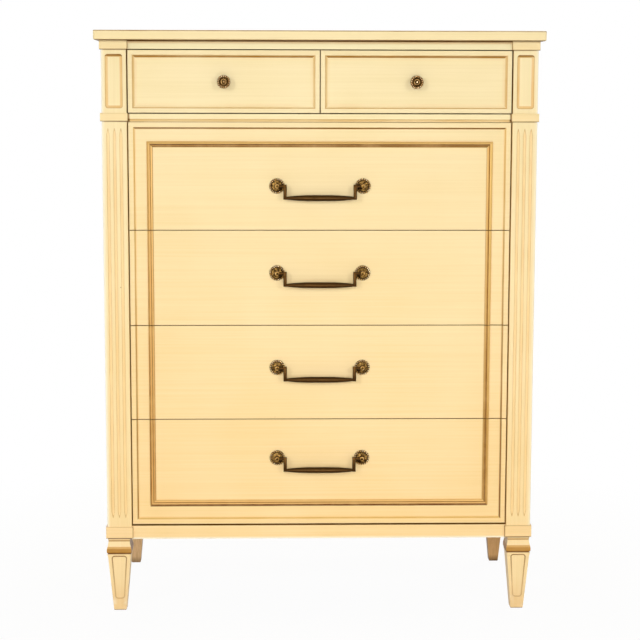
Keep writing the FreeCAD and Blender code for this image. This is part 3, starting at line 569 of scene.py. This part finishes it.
def make_small_front_finish():
    low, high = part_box("small_drawer_right_front")
    lip, cove = 9.4 * mm, 6.4 * mm
    front = Lacquer("small_front_lacquer", paint(255, 236, 188))
    across = front.reckon("ABSOLUTE", front.x)
    sides = front.reckon("MINIMUM", front.reckon("SUBTRACT", across, low.x),
                         front.reckon("SUBTRACT", high.x, across))
    ends = front.reckon("MINIMUM", front.reckon("SUBTRACT", front.z, low.z),
                        front.reckon("SUBTRACT", high.z, front.z))
    inset = front.reckon("MINIMUM", sides, ends)
    front.gap_side = front.rise(inset, 0.6 * mm, 0.3 * mm)

    border = front.band(inset, lip, lip + cove, 0.4 * mm)
    # Painted light by facing: darkest on the top wall, which faces down, medium at the sides, a lighter tan
    # at the foot, which faces up.
    over = front.both(front.band(inset, lip + 1.6 * mm, lip + cove + 1.3 * mm, 0.5 * mm),
                      front.rise(front.facing_z, -0.02, -0.1),
                      front.rise(inset, lip + 1.1 * cove, lip + 0.9 * cove, 0.6, 1))
    under = front.both(front.band(inset, lip, lip + 2.2 * mm, 0.5 * mm),
                       front.rise(front.facing_z, 0.05, 0.2))
    beside = front.both(border, front.rise(front.reckon("ABSOLUTE", front.facing_x), 0.05, 0.2))
    # A soft peach band of painted shade along the cove.
    soft_shade_band = front.band(inset, lip + 2 * mm, lip + cove + 4 * mm, 2 * mm)
    front.glaze(front.both(soft_shade_band, 0.25), paint(240, 196, 128), 0.7)
    front.glaze(front.both(beside, 0.75), paint(212, 166, 92), 0.3)
    front.glaze(over, paint(160, 112, 38), 0.15)
    front.glaze(front.both(under, 0.8), paint(206, 156, 76), 0.2)
    leave_bare(front)
    return front.finish()


dress(make_small_front_finish(), "small_drawer_left_front", "small_drawer_right_front")


# Wide drawer fronts
# Four flush fronts share one raised lip round their outside, with a short slope down to the field.
# The slope is picked out in glaze, deeper toward the foot of the case, with painted light by facing: darkest
# along the top, which faces down, lighter at the foot, which faces up.

def make_wide_front_finish():
    low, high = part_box("drawer_4_front")[0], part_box("drawer_1_front")[1]
    lip, slope, moulding_edge = 11.0 * mm, 2.4 * mm, 41 * mm
    front = Lacquer("wide_front_lacquer", paint(255, 235, 186), paint(253, 218, 158))
    sides = front.reckon("SUBTRACT", high.x, front.reckon("ABSOLUTE", front.x))
    below_top = front.reckon("SUBTRACT", high.z, front.z)
    above_foot = front.reckon("SUBTRACT", front.z, low.z)
    ends = front.reckon("MINIMUM", below_top, above_foot)
    inset = front.reckon("MINIMUM", sides, ends)
    front.gap_side = front.rise(front.depth_behind(low.y), 0.6 * mm, 1.4 * mm)

    upright = front.rise(front.reckon("SUBTRACT", ends, sides), 0.0, 0.2 * mm)
    level = front.reckon("SUBTRACT", 1.0, upright)
    line = front.band(inset, lip - 0.1 * mm, lip + slope + 0.8 * mm, 0.35 * mm)
    side_line = front.band(inset, lip - 0.8 * mm, lip + slope + 0.2 * mm, 0.3 * mm)
    # Painted light by facing: the top slope faces down and is painted dark, the foot slope faces up and is
    # painted a lighter tan.
    over = front.both(line, front.rise(below_top, lip + 5 * mm, lip + 4 * mm), level)
    under = front.both(line, front.rise(above_foot, lip + 5 * mm, lip + 4 * mm), level)
    deeper = front.rise(front.z, high.z, low.z)
    right_deeper = front.both(front.rise(front.x, -0.1, 0.1, 0, 0.5), deeper)
    side_glaze = front.mix(deeper, paint(238, 198, 126), paint(166, 120, 50))
    side_glaze = front.mix(right_deeper, side_glaze, paint(92, 46, 0))
    # A soft peach band of painted shade inside the slope.
    soft_shade_band = front.band(inset, lip + 0.6 * mm, lip + slope + 2.6 * mm, 0.9 * mm)
    front.glaze(front.both(soft_shade_band, 0.35), paint(246, 196, 128), 0.4)
    front.glaze(front.both(side_line, upright), side_glaze, 0.2)
    front.glaze(over, paint(136, 92, 28), 0.1)
    front.glaze(under, paint(232, 190, 112), 0.3)

    # Painted shadow: a dark line on the field just outside the moulding's foot, on the lowest drawer.
    shadow_below_moulding = front.band(inset, moulding_edge - 1.8 * mm, moulding_edge - 0.1 * mm, 0.3 * mm)
    low_down = front.rise(front.z, low.z + 60 * mm, low.z + 50 * mm)
    front.glaze(front.both(shadow_below_moulding, low_down, level), paint(132, 84, 18), 0.2)
    leave_bare(front)
    return front.finish()


wide_drawers = [f"drawer_{number}" for number in (1, 2, 3, 4)]
dress(make_wide_front_finish(), *(f"{name}_front" for name in wide_drawers))


# Gilt moulding
# A bead, a quirk and a fillet run in wood, glued and pinned round the fields with mitred corners.
# Painted dull gold, with painted light and shade in bands: pale where the profile faces up, dark where it
# faces down, in the quirk and at the edges.

def make_moulding_finish():
    low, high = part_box("drawer_4_moulding")[0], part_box("drawer_1_moulding")[1]
    gold = Finish("gilt_moulding")
    sides = gold.reckon("SUBTRACT", high.x, gold.reckon("ABSOLUTE", gold.x))
    below_top = gold.reckon("SUBTRACT", high.z, gold.z)
    above_foot = gold.reckon("SUBTRACT", gold.z, low.z)
    ends = gold.reckon("MINIMUM", below_top, above_foot)
    inset = gold.reckon("MINIMUM", sides, ends)
    level = gold.rise(gold.reckon("SUBTRACT", sides, ends), 0.0, 0.2 * mm)
    upright = gold.reckon("SUBTRACT", 1.0, level)
    top_run = gold.both(level, gold.rise(gold.z, high.z - 40 * mm, high.z - 30 * mm))
    foot_run = gold.both(level, gold.rise(gold.z, low.z + 40 * mm, low.z + 30 * mm))
    left_run = gold.both(upright, gold.rise(gold.x, 0.1, -0.1))
    right_run = gold.both(upright, gold.rise(gold.x, -0.1, 0.1))
    cloud = gold.noise(26.0, 4.0, 0.6)
    deeper = gold.rise(gold.z, high.z - 40 * mm, low.z + 120 * mm)
    uneven = gold.rise(cloud, 0.3, 0.6, 0.75, 1.0)
    colour = gold.mix(gold.rise(cloud, 0.3, 0.7), paint(240, 198, 124), paint(228, 180, 104))

    # Each band: where it starts and ends, in mm from the outer edge, and its paint, which
    # changes from the first at the head of the case to the last at its foot.
    # The paints hold painted light and shade: bands on faces looking down are dark, bands on faces looking up
    # are pale.
    bands_of_runs = (
        (top_run, (
            (0.5, 4.9, (214, 172, 100)), (5.0, 5.6, (206, 160, 86)), (5.7, 7.7, (92, 46, 0)),
            (7.8, 9.7, (168, 120, 48)), (9.8, 11.8, (122, 78, 16)), (11.9, 12.8, (214, 172, 104)))),
        (foot_run, (
            (0.0, 3.9, (104, 56, 0)), (4.0, 6.2, (234, 186, 114)), (6.3, 8.5, (176, 124, 46)),
            (8.6, 10.7, (244, 200, 126)), (10.8, 12.0, (222, 176, 102)))),
        (left_run, (
            (0.2, 4.2, (208, 162, 90), (154, 108, 42)), (4.4, 6.7, (255, 210, 132), (232, 180, 106)),
            (6.8, 8.9, (196, 144, 64), (172, 122, 48)), (9.0, 11.3, (255, 214, 136), (208, 158, 88)),
            (11.5, 13.6, (196, 150, 76), (178, 132, 62)))),
        (right_run, (
            (1.2, 3.5, (232, 190, 110), (198, 152, 80)), (3.6, 5.6, (255, 212, 128), (182, 132, 58)),
            (5.7, 7.8, (172, 120, 40), (150, 100, 28)), (7.9, 9.9, (232, 182, 102), (150, 102, 32)),
            (10.0, 12.1, (250, 208, 134), (184, 136, 64)),
            (12.2, 13.6, (190, 150, 82), (192, 148, 80)))))
    for run, bands in bands_of_runs:
        for start, end, *paints in bands:
            where = gold.both(run, gold.band(inset, start * mm, end * mm, 0.25 * mm), uneven)
            toned = gold.mix(deeper, paint(*paints[0]), paint(*paints[-1]))
            colour = gold.mix(where, colour, toned)

    chips = gold.both(gold.rise(gold.noise(70.0, 2.0, 0.5), 0.70, 0.72), gold.rise(gold.x, 0.1, 0.25),
                      gold.rise(gold.z, low.z + 30 * mm, low.z + 12 * mm))
    colour = gold.mix(chips, colour, paint(252, 244, 226))
    gloss = gold.rise(cloud, 0.3, 0.7, 0.36, 0.52)
    return gold.complete(colour, gloss, cloud, 0.12 * mm, shine=0.25)


dress(make_moulding_finish(), *(f"{name}_moulding" for name in wide_drawers))


# Drawer boxes
# Sides and backs of thin sealed hardwood, glued with let-in joints behind the fronts.
# The bottoms are plywood, slid into grooves from behind.

box_light, box_dark = paint(222, 190, 140), paint(186, 148, 98)
ply_light, ply_dark = paint(214, 184, 138), paint(188, 154, 108)
side_wood = make_wood_finish("box_side_wood", box_light, box_dark, (20, 1.2, 34), 0.5)
back_wood = make_wood_finish("box_back_wood", box_light, box_dark, (1.2, 20, 34), 0.5)
ply_wood = make_wood_finish("box_bottom_wood", ply_light, ply_dark, (1.0, 14, 30), 0.55)
for name in ["small_drawer_left", "small_drawer_right"] + wide_drawers:
    dress(side_wood, f"{name}_sides")
    dress(back_wood, f"{name}_back")
    dress(ply_wood, f"{name}_bottom")


# Knobs
# Turned and cast brass knobs with a gadrooned rim, a ring and a button, on the small drawers.
# Each is held by a screw through the drawer front; the hollows keep a dark patina.

def make_brass(name, bright, dark, roughness=(0.24, 0.5), glint_share=0.0):
    """Antiqued brass: bright where hands rub it and where a painted reflection lights the faces turned to the
    front, dark in the hollows, uneven all over, with painted glints on the highest points.
    """
    brass = Finish(name)
    raised = brass.add("Attribute", {}, attribute_name="raised").outputs["Fac"]
    cloud = brass.noise(240.0, 4.0, 0.6)
    # Faces turned to the front are lighter: partly rubbing by hands, partly a painted reflection.
    front_rub_and_reflection = brass.rise(brass.facing_y, -0.2, -0.8, 0.45, 1.0)
    rub_and_reflection = brass.reckon("ADD", brass.both(raised, front_rub_and_reflection), brass.rise(cloud, 0.34, 0.66, -0.3, 0.3))
    colour = brass.mix(brass.rise(rub_and_reflection, 0.1, 0.8), dark, bright)
    # Painted glints: the most raised points turn near white.
    painted_glint = brass.rise(rub_and_reflection, 0.8, 1.1, 0.0, glint_share)
    colour = brass.mix(painted_glint, colour, paint(255, 242, 206))
    gloss = brass.rise(rub_and_reflection, 0.1, 0.9, roughness[1], roughness[0])
    return brass.complete(colour, gloss, cloud, 0.05 * mm, metallic=0.92)


def start_piece():
    """An empty mesh that remembers how far each point stands out of the hollows."""
    piece = bmesh.new()
    piece.verts.layers.float.new("raised")
    return piece


def set_raised(piece, points, measure):
    layer = piece.verts.layers.float["raised"]
    for point in points:
        point[layer] = max(0.0, min(1.0, measure(point.co)))


def turn_profile(piece, profile):
    """Turns a profile of (distance from the axis, height, raised) round the upright axis."""
    steps = 48
    layer = piece.verts.layers.float["raised"]
    line = []
    for reach, height, raised in profile:
        point = piece.verts.new((reach * mm, 0, height * mm))
        point[layer] = raised
        line.append(point)
    edges = [piece.edges.new(pair) for pair in zip(line, line[1:])]
    bmesh.ops.spin(piece, geom=line + edges, cent=(0, 0, 0), axis=(0, 0, 1), angle=math.tau,
                   steps=steps, use_merge=True)


def finish_piece(piece, name, body, finish, stands_for=None):
    """Merges the seams, turns the faces outwards and puts the piece on its body."""
    merge_distance, sharp_degrees = 0.005 * mm, 38
    bmesh.ops.remove_doubles(piece, verts=piece.verts, dist=merge_distance)
    bmesh.ops.recalc_face_normals(piece, faces=piece.faces)
    mesh = bpy.data.meshes.new(name)
    piece.to_mesh(mesh)
    piece.free()
    mesh.shade_smooth()
    mesh.set_sharp_from_angle(angle=math.radians(sharp_degrees))
    made = bpy.data.objects.new(name, mesh)
    bpy.context.scene.collection.objects.link(made)
    mesh.materials.append(finish.material)
    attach(made, body)
    if stands_for:
        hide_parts(stands_for)


def ring_of_petals(piece, count, inner, outer, middle_height, half_height, fill=0.94, lean=0.0, worn=1.0):
    """Rounded petals side by side in a ring, wider at the rim; a lean turns them into a rope."""
    segments, rings = 8, 6
    reach = (inner + outer) / 2
    half_length = (outer - inner) / 2

    def wear(place):
        return worn * max(0.0, (place.z / mm - middle_height) / half_height) ** 0.5

    for number in range(count):
        made = bmesh.ops.create_uvsphere(piece, u_segments=segments, v_segments=rings, radius=1.0)
        points = made["verts"]
        for point in points:
            along = reach + half_length * point.co.x
            half_width = fill * math.pi * along / count
            sideways = half_width * point.co.y + lean * (along - reach)
            point.co = Vector((along, sideways, middle_height + half_height * point.co.z)) * mm
        set_raised(piece, points, wear)
        turn = Matrix.Rotation(math.tau * (number + 0.5) / count, 3, "Z")
        bmesh.ops.rotate(piece, verts=points, cent=(0, 0, 0), matrix=turn)


def face_front(piece, place):
    """Turns a piece made upright to face the room, and sets its foot on the drawer."""
    facing = Matrix.Translation(place) @ Matrix.Rotation(math.pi / 2, 4, "X")
    bmesh.ops.transform(piece, matrix=facing, verts=piece.verts)


# Painted glints on the knobs' button and ring.
brass_finish = make_brass("antique_brass", paint(194, 148, 88), paint(52, 32, 2), glint_share=0.5)
# Distance from the axis and height in mm, and how rubbed the metal is there, which also places the painted
# glints.
knob_profile = [
    (0, -18.6, 0.6), (2.8, -18.6, 0.6), (4.0, -18.1, 0.6), (4.5, -17.2, 0.5), (4.5, -16, 0.3),
    (2, -16, 0.2), (2, 0, 0.2), (8.5, 0, 0.2), (8.5, 1.0, 0.5), (8.0, 1.8, 0.6), (6.2, 2.6, 0.4),
    (5.3, 4.2, 0.3), (5.0, 7.0, 0.3), (5.3, 9.8, 0.3), (6.8, 12.2, 0.3), (9.8, 14.0, 0.3),
    (12.8, 15.0, 0.3), (14.0, 16.0, 0.2), (14.1, 17.2, 0.1), (13.4, 18.0, 0.0), (10.0, 18.2, 0.0),
    (8.8, 17.6, 0.0), (7.6, 17.5, 0.0), (7.0, 18.2, 0.2), (6.6, 19.2, 0.3), (5.8, 19.9, 0.55),
    (5.0, 19.9, 0.55), (4.2, 19.2, 0.2), (3.7, 18.4, 0.0), (3.2, 18.4, 0.0), (2.9, 19.6, 0.1),
    (2.4, 21.0, 0.4), (1.4, 21.9, 0.9), (0, 22.3, 1.0)]
gadroons, field_depth = 18, 4 * mm
small_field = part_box("small_drawer_right_front")[0].y + field_depth
for side in ("left", "right"):
    low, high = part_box(f"small_drawer_{side}_knob")
    knob = start_piece()
    turn_profile(knob, knob_profile)
    ring_of_petals(knob, gadroons, 9.1, 15.0, 17.2, 2.2, 0.74)
    face_front(knob, ((low.x + high.x) / 2, small_field, (low.z + high.z) / 2))
    finish_piece(knob, f"knob_{side}", f"small_drawer_{side}", brass_finish,
                 f"small_drawer_{side}_knob")


# Rosettes
# Cast brass rosettes: a rope edge, a ring of petals on the dome and a round post for the bail's pin.
# A screw from inside the drawer holds each one.

# Strong painted glints on the rope and the tip of the post.
rosette_finish = make_brass("rosette_brass", paint(216, 168, 92), paint(50, 28, 0), glint_share=0.8)
rosette_profile = [
    (0, -19.6, 0.6), (2.8, -19.6, 0.6), (4.0, -19.1, 0.6), (4.5, -18.2, 0.5), (4.5, -17, 0.3),
    (2, -17, 0.2), (2, 0, 0.2), (16.2, 0, 0.1), (16.6, 0.8, 0.1), (16.0, 1.6, 0.0), (12.8, 1.8, 0.0),
    (12.3, 2.6, 0.2), (11.4, 3.4, 0.3), (9.6, 4.2, 0.3), (7.6, 4.9, 0.3), (6.4, 5.4, 0.3),
    (5.4, 6.0, 0.25), (4.6, 7.0, 0.1), (4.4, 8.4, 0.1), (4.4, 13.6, 0.1), (4.7, 15.4, 0.4),
    (4.5, 16.8, 1.0), (3.9, 17.7, 1.0), (3.0, 18.3, 0.4), (1.5, 18.55, 0.1), (0, 18.6, 0.1)]
rope_turns, petals = 20, 14
rope_radius, post_height = 17.4, 18.6


def shade_below_arm(rosette, inward):
    """The rosette is painted dark under the bail's arm, as the arm's shade."""
    middle, reach = Vector((inward * 8 * mm, -5 * mm, 0)), 6.5 * mm
    layer = rosette.verts.layers.float["raised"]
    for point in rosette.verts:
        away = (Vector((point.co.x, point.co.y, 0)) - middle).length
        point[layer] *= min(1.0, max(0.0, away / reach - 0.3))


for name in wide_drawers:
    low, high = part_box(f"{name}_pull_posts")
    field = low.y + post_height * mm
    reach = high.x - rope_radius * mm
    rosettes = start_piece()
    for place in (-reach, reach):
        single = start_piece()
        turn_profile(single, rosette_profile)
        ring_of_petals(single, rope_turns, 12.2, rope_radius, 1.8, 2.9, 0.8, lean=0.5)
        ring_of_petals(single, petals, 5.6, 12.6, 3.9, 1.7, 0.9, worn=0.36)
        shade_below_arm(single, inward=math.copysign(1, -place))
        face_front(single, (place, field, (low.z + high.z) / 2))
        holder = bpy.data.meshes.new("rosette")
        single.to_mesh(holder)
        single.free()
        rosettes.from_mesh(holder)
        bpy.data.meshes.remove(holder)
    finish_piece(rosettes, f"{name}_rosettes", name, rosette_finish, f"{name}_pull_posts")


# Bails
# Drop handles of dark bronze: a spindle-shaped grip between two square bars, with a round arm and
# a pin on each side that turns in the rosettes' posts.

bronze_finish = make_brass("dark_bronze", paint(68, 44, 16), paint(36, 22, 2), (0.3, 0.45))


def make_bail(name, number):
    bar, bar_edge, bar_centre = 7.4 * mm, 0.7 * mm, 76.1 * mm
    grip_end, grip_middle, straight_share, drop = 3.2 * mm, 6.6 * mm, 0.25, 25.6 * mm
    arm_radius, arm_end, pin_radius = 3.2 * mm, 88.6 * mm, 2.3 * mm
    low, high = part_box(f"{name}_bail")
    pin_end = high.x
    pivot_z = high.z - bar / 2
    pivot_y = (low.y + high.y) / 2
    grip_z = pivot_z - drop
    bail = start_piece()
    for side in (-1, 1):
        made = bmesh.ops.create_cube(bail, size=1.0)
        height = pivot_z + bar / 2 - (grip_z - grip_end)
        bmesh.ops.scale(bail, vec=(bar, bar, height), verts=made["verts"])
        bmesh.ops.translate(bail, vec=(side * bar_centre, pivot_y, pivot_z + bar / 2 - height / 2),
                            verts=made["verts"])
        edges = list({edge for point in made["verts"] for edge in point.link_edges})
        bmesh.ops.bevel(bail, geom=edges, offset=bar_edge, offset_type="OFFSET", segments=2, profile=0.5,
                        affect="EDGES", material=-1)
        for start, end, radius in ((bar_centre, arm_end, arm_radius), (arm_end, pin_end, pin_radius)):
            along = Matrix.Translation((side * (start + end) / 2, pivot_y, pivot_z))
            along = along @ Matrix.Rotation(math.pi / 2, 4, "Y")
            bmesh.ops.create_cone(bail, cap_ends=True, segments=24, radius1=radius, radius2=radius,
                                  depth=end - start, matrix=along)
    half = bar_centre - bar / 2 + bar_edge
    steps = 28
    line = [bail.verts.new((-half, pivot_y, grip_z))]
    for step in range(steps + 1):
        share = 2 * step / steps - 1
        fall = max(0.0, (abs(share) - straight_share) / (1 - straight_share))
        radius = grip_middle - (grip_middle - grip_end) * fall ** 2
        line.append(bail.verts.new((share * half, pivot_y, grip_z + radius)))
    line.append(bail.verts.new((half, pivot_y, grip_z)))
    edges = [bail.edges.new(pair) for pair in zip(line, line[1:])]
    bmesh.ops.spin(bail, geom=line + edges, cent=(0, pivot_y, grip_z), axis=(1, 0, 0), angle=math.tau,
                   steps=24, use_merge=True)
    set_raised(bail, bail.verts, lambda place: 0.75)
    finish_piece(bail, f"bail_{number}_handle", f"bail_{number}", bronze_finish,
                 f"{name}_bail")


for number, name in enumerate(wide_drawers, start=1):
    make_bail(name, number)


# Nails in the back panel
# Oxidised steel nails with round heads, driven through the hardboard into the rabbets
# a hand's width apart, a little off the line where the hammer slipped.

def drive_nails():
    low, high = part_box("back_panel")
    radius, proud, edge, pitch = 2.6 * mm, 0.8 * mm, 5 * mm, 0.13
    across = round((high.x - low.x) / pitch)
    upright = round((high.z - low.z) / pitch)
    columns = [low.x + edge + (high.x - low.x - 2 * edge) * step / across for step in range(across + 1)]
    rows = [low.z + edge + (high.z - low.z - 2 * edge) * step / upright for step in range(upright + 1)]
    places = [(x, z) for x in columns for z in (rows[0], rows[-1])]
    places += [(x, z) for x in (columns[0], columns[-1]) for z in rows[1:-1]]
    scatter, most_off = random.Random(7), 1.5
    nails = start_piece()
    for x, z in places:
        made = bmesh.ops.create_uvsphere(nails, u_segments=10, v_segments=6, radius=radius)
        bmesh.ops.scale(nails, vec=(1, proud / radius, 1), verts=made["verts"])
        shift = (scatter.uniform(-most_off, most_off) * mm, scatter.uniform(-most_off, most_off) * mm)
        bmesh.ops.translate(nails, vec=(x + shift[0], high.y, z + shift[1]), verts=made["verts"])
    set_raised(nails, nails.verts, lambda place: 0.4)
    nail_finish = make_brass("nail_heads", paint(120, 108, 92), paint(62, 52, 42), (0.4, 0.6))
    finish_piece(nails, "back_panel_nails", "carcass", nail_finish)


drive_nails()


# Room
# A pale floor that keeps a soft shadow and fades to white, with even light all round it.
# Four soft lamps stand in front, and two behind and one above light the other sides.

def seen_rays(tree):
    """1 where the room is seen straight, in a mirror or through glass, and 0 where it lights."""
    rays = tree.nodes.new("ShaderNodeLightPath")
    seen = rays.outputs["Is Camera Ray"]
    for name in ("Is Glossy Ray", "Is Transmission Ray"):
        either = tree.nodes.new("ShaderNodeMath")
        either.operation = "MAXIMUM"
        tree.links.new(seen, either.inputs[0])
        tree.links.new(rays.outputs[name], either.inputs[1])
        seen = either.outputs[0]
    return seen


def make_floor():
    size, shadow_reach, fade_end, shadow_share = 14.0, 0.7, 1.4, 0.96
    floor_mesh = bmesh.new()
    bmesh.ops.create_grid(floor_mesh, x_segments=1, y_segments=1, size=size / 2)
    mesh = bpy.data.meshes.new("floor")
    floor_mesh.to_mesh(mesh)
    floor_mesh.free()
    floor = bpy.data.objects.new("floor", mesh)
    bpy.context.scene.collection.objects.link(floor)
    pale = Finish("pale_floor")
    pale.shader.inputs["Base Color"].default_value = (0.85, 0.85, 0.85, 1)
    pale.shader.inputs["Roughness"].default_value = 0.9
    pale.shader.inputs["Specular IOR Level"].default_value = 0.1
    glow = pale.add("Emission", {"Strength": 1.0})
    distance = pale.add("VectorMath", {0: pale.place}, operation="LENGTH").outputs["Value"]
    share = pale.both(seen_rays(pale.tree), pale.rise(distance, shadow_reach, fade_end, shadow_share))
    blend = pale.add("MixShader", {0: share, 1: pale.shader.outputs[0], 2: glow.outputs[0]})
    pale.tree.links.new(blend.outputs[0], pale.tree.nodes["Material Output"].inputs["Surface"])
    mesh.materials.append(pale.material)


def make_world():
    ambient = 0.26
    world = bpy.data.worlds.new("studio")
    bpy.context.scene.world = world
    world.use_nodes = True
    tree = world.node_tree
    back = tree.nodes["Background"]
    seen = seen_rays(tree)
    tint = tree.nodes.new("ShaderNodeMix")
    tint.data_type = "RGBA"
    tint.inputs[6].default_value = (1, 0.86, 0.60, 1)
    tint.inputs[7].default_value = (1, 1, 1, 1)
    tree.links.new(seen, tint.inputs[0])
    tree.links.new(tint.outputs[2], back.inputs["Color"])
    level = tree.nodes.new("ShaderNodeMapRange")
    level.inputs["To Min"].default_value = ambient
    level.inputs["To Max"].default_value = 1.0
    tree.links.new(seen, level.inputs["Value"])
    tree.links.new(level.outputs[0], back.inputs["Strength"])


def add_lamp(name, place, aim, width, power, colour, spread=180):
    """A round soft lamp; a spread under 180 degrees keeps its light low."""
    lamp = bpy.data.lights.new(name, "AREA")
    lamp.spread = math.radians(spread)
    lamp.shape = "DISK"
    lamp.color = colour
    lamp.size = width
    lamp.energy = power
    holder = bpy.data.objects.new(name, lamp)
    bpy.context.scene.collection.objects.link(holder)
    holder.location = place
    holder.rotation_euler = (Vector(aim) - Vector(place)).to_track_quat("-Z", "Y").to_euler()


middle, foot = (0, 0, 0.6), (0, 0, 0.1)
cool, warm = (0.87, 0.9, 0.945), (1.0, 0.94, 0.85)
make_floor()
make_world()
add_lamp("lamp_left", (-2.6, -4.0, 2.4), middle, 0.8, 57, cool)
add_lamp("lamp_right", (2.6, -4.0, 2.2), middle, 0.8, 44, cool)
add_lamp("lamp_front", (0.2, -3.2, 0.3), foot, 1.0, 2.8, cool, spread=64)
add_lamp("lamp_camera", (-0.3, -5.2, 1.5), middle, 0.9, 49, cool)
add_lamp("lamp_back_left", (-3.0, 3.6, 2.2), middle, 2.0, 44, warm)
add_lamp("lamp_back_right", (3.0, 3.6, 2.2), middle, 2.0, 44, warm)
add_lamp("lamp_over", (0, 0.6, 4.2), middle, 2.0, 36, warm)


# Camera
# A long lens nearly straight at the front, a little left of the middle and high up the case.
# Its place is in metres, its turns are in degrees and its lens is in millimetres.

def make_camera():
    place = (-0.09216, -3.90772, 1.13666)
    turn, tilt, roll = -1.4387, 7.4066, 0.1222
    focal_length = 95.394
    camera = bpy.data.cameras.new("camera")
    camera.lens = focal_length
    camera.sensor_width = 36.0
    camera.clip_end = 60.0
    holder = bpy.data.objects.new("camera", camera)
    bpy.context.scene.collection.objects.link(holder)
    look = Matrix.Rotation(math.radians(turn), 4, "Z") @ Matrix.Rotation(math.radians(90 - tilt), 4, "X")
    look = look @ Matrix.Rotation(math.radians(roll), 4, "Z")
    holder.matrix_world = Matrix.Translation(place) @ look
    bpy.context.scene.camera = holder


make_camera()
bpy.context.scene.view_settings.view_transform = "Standard"
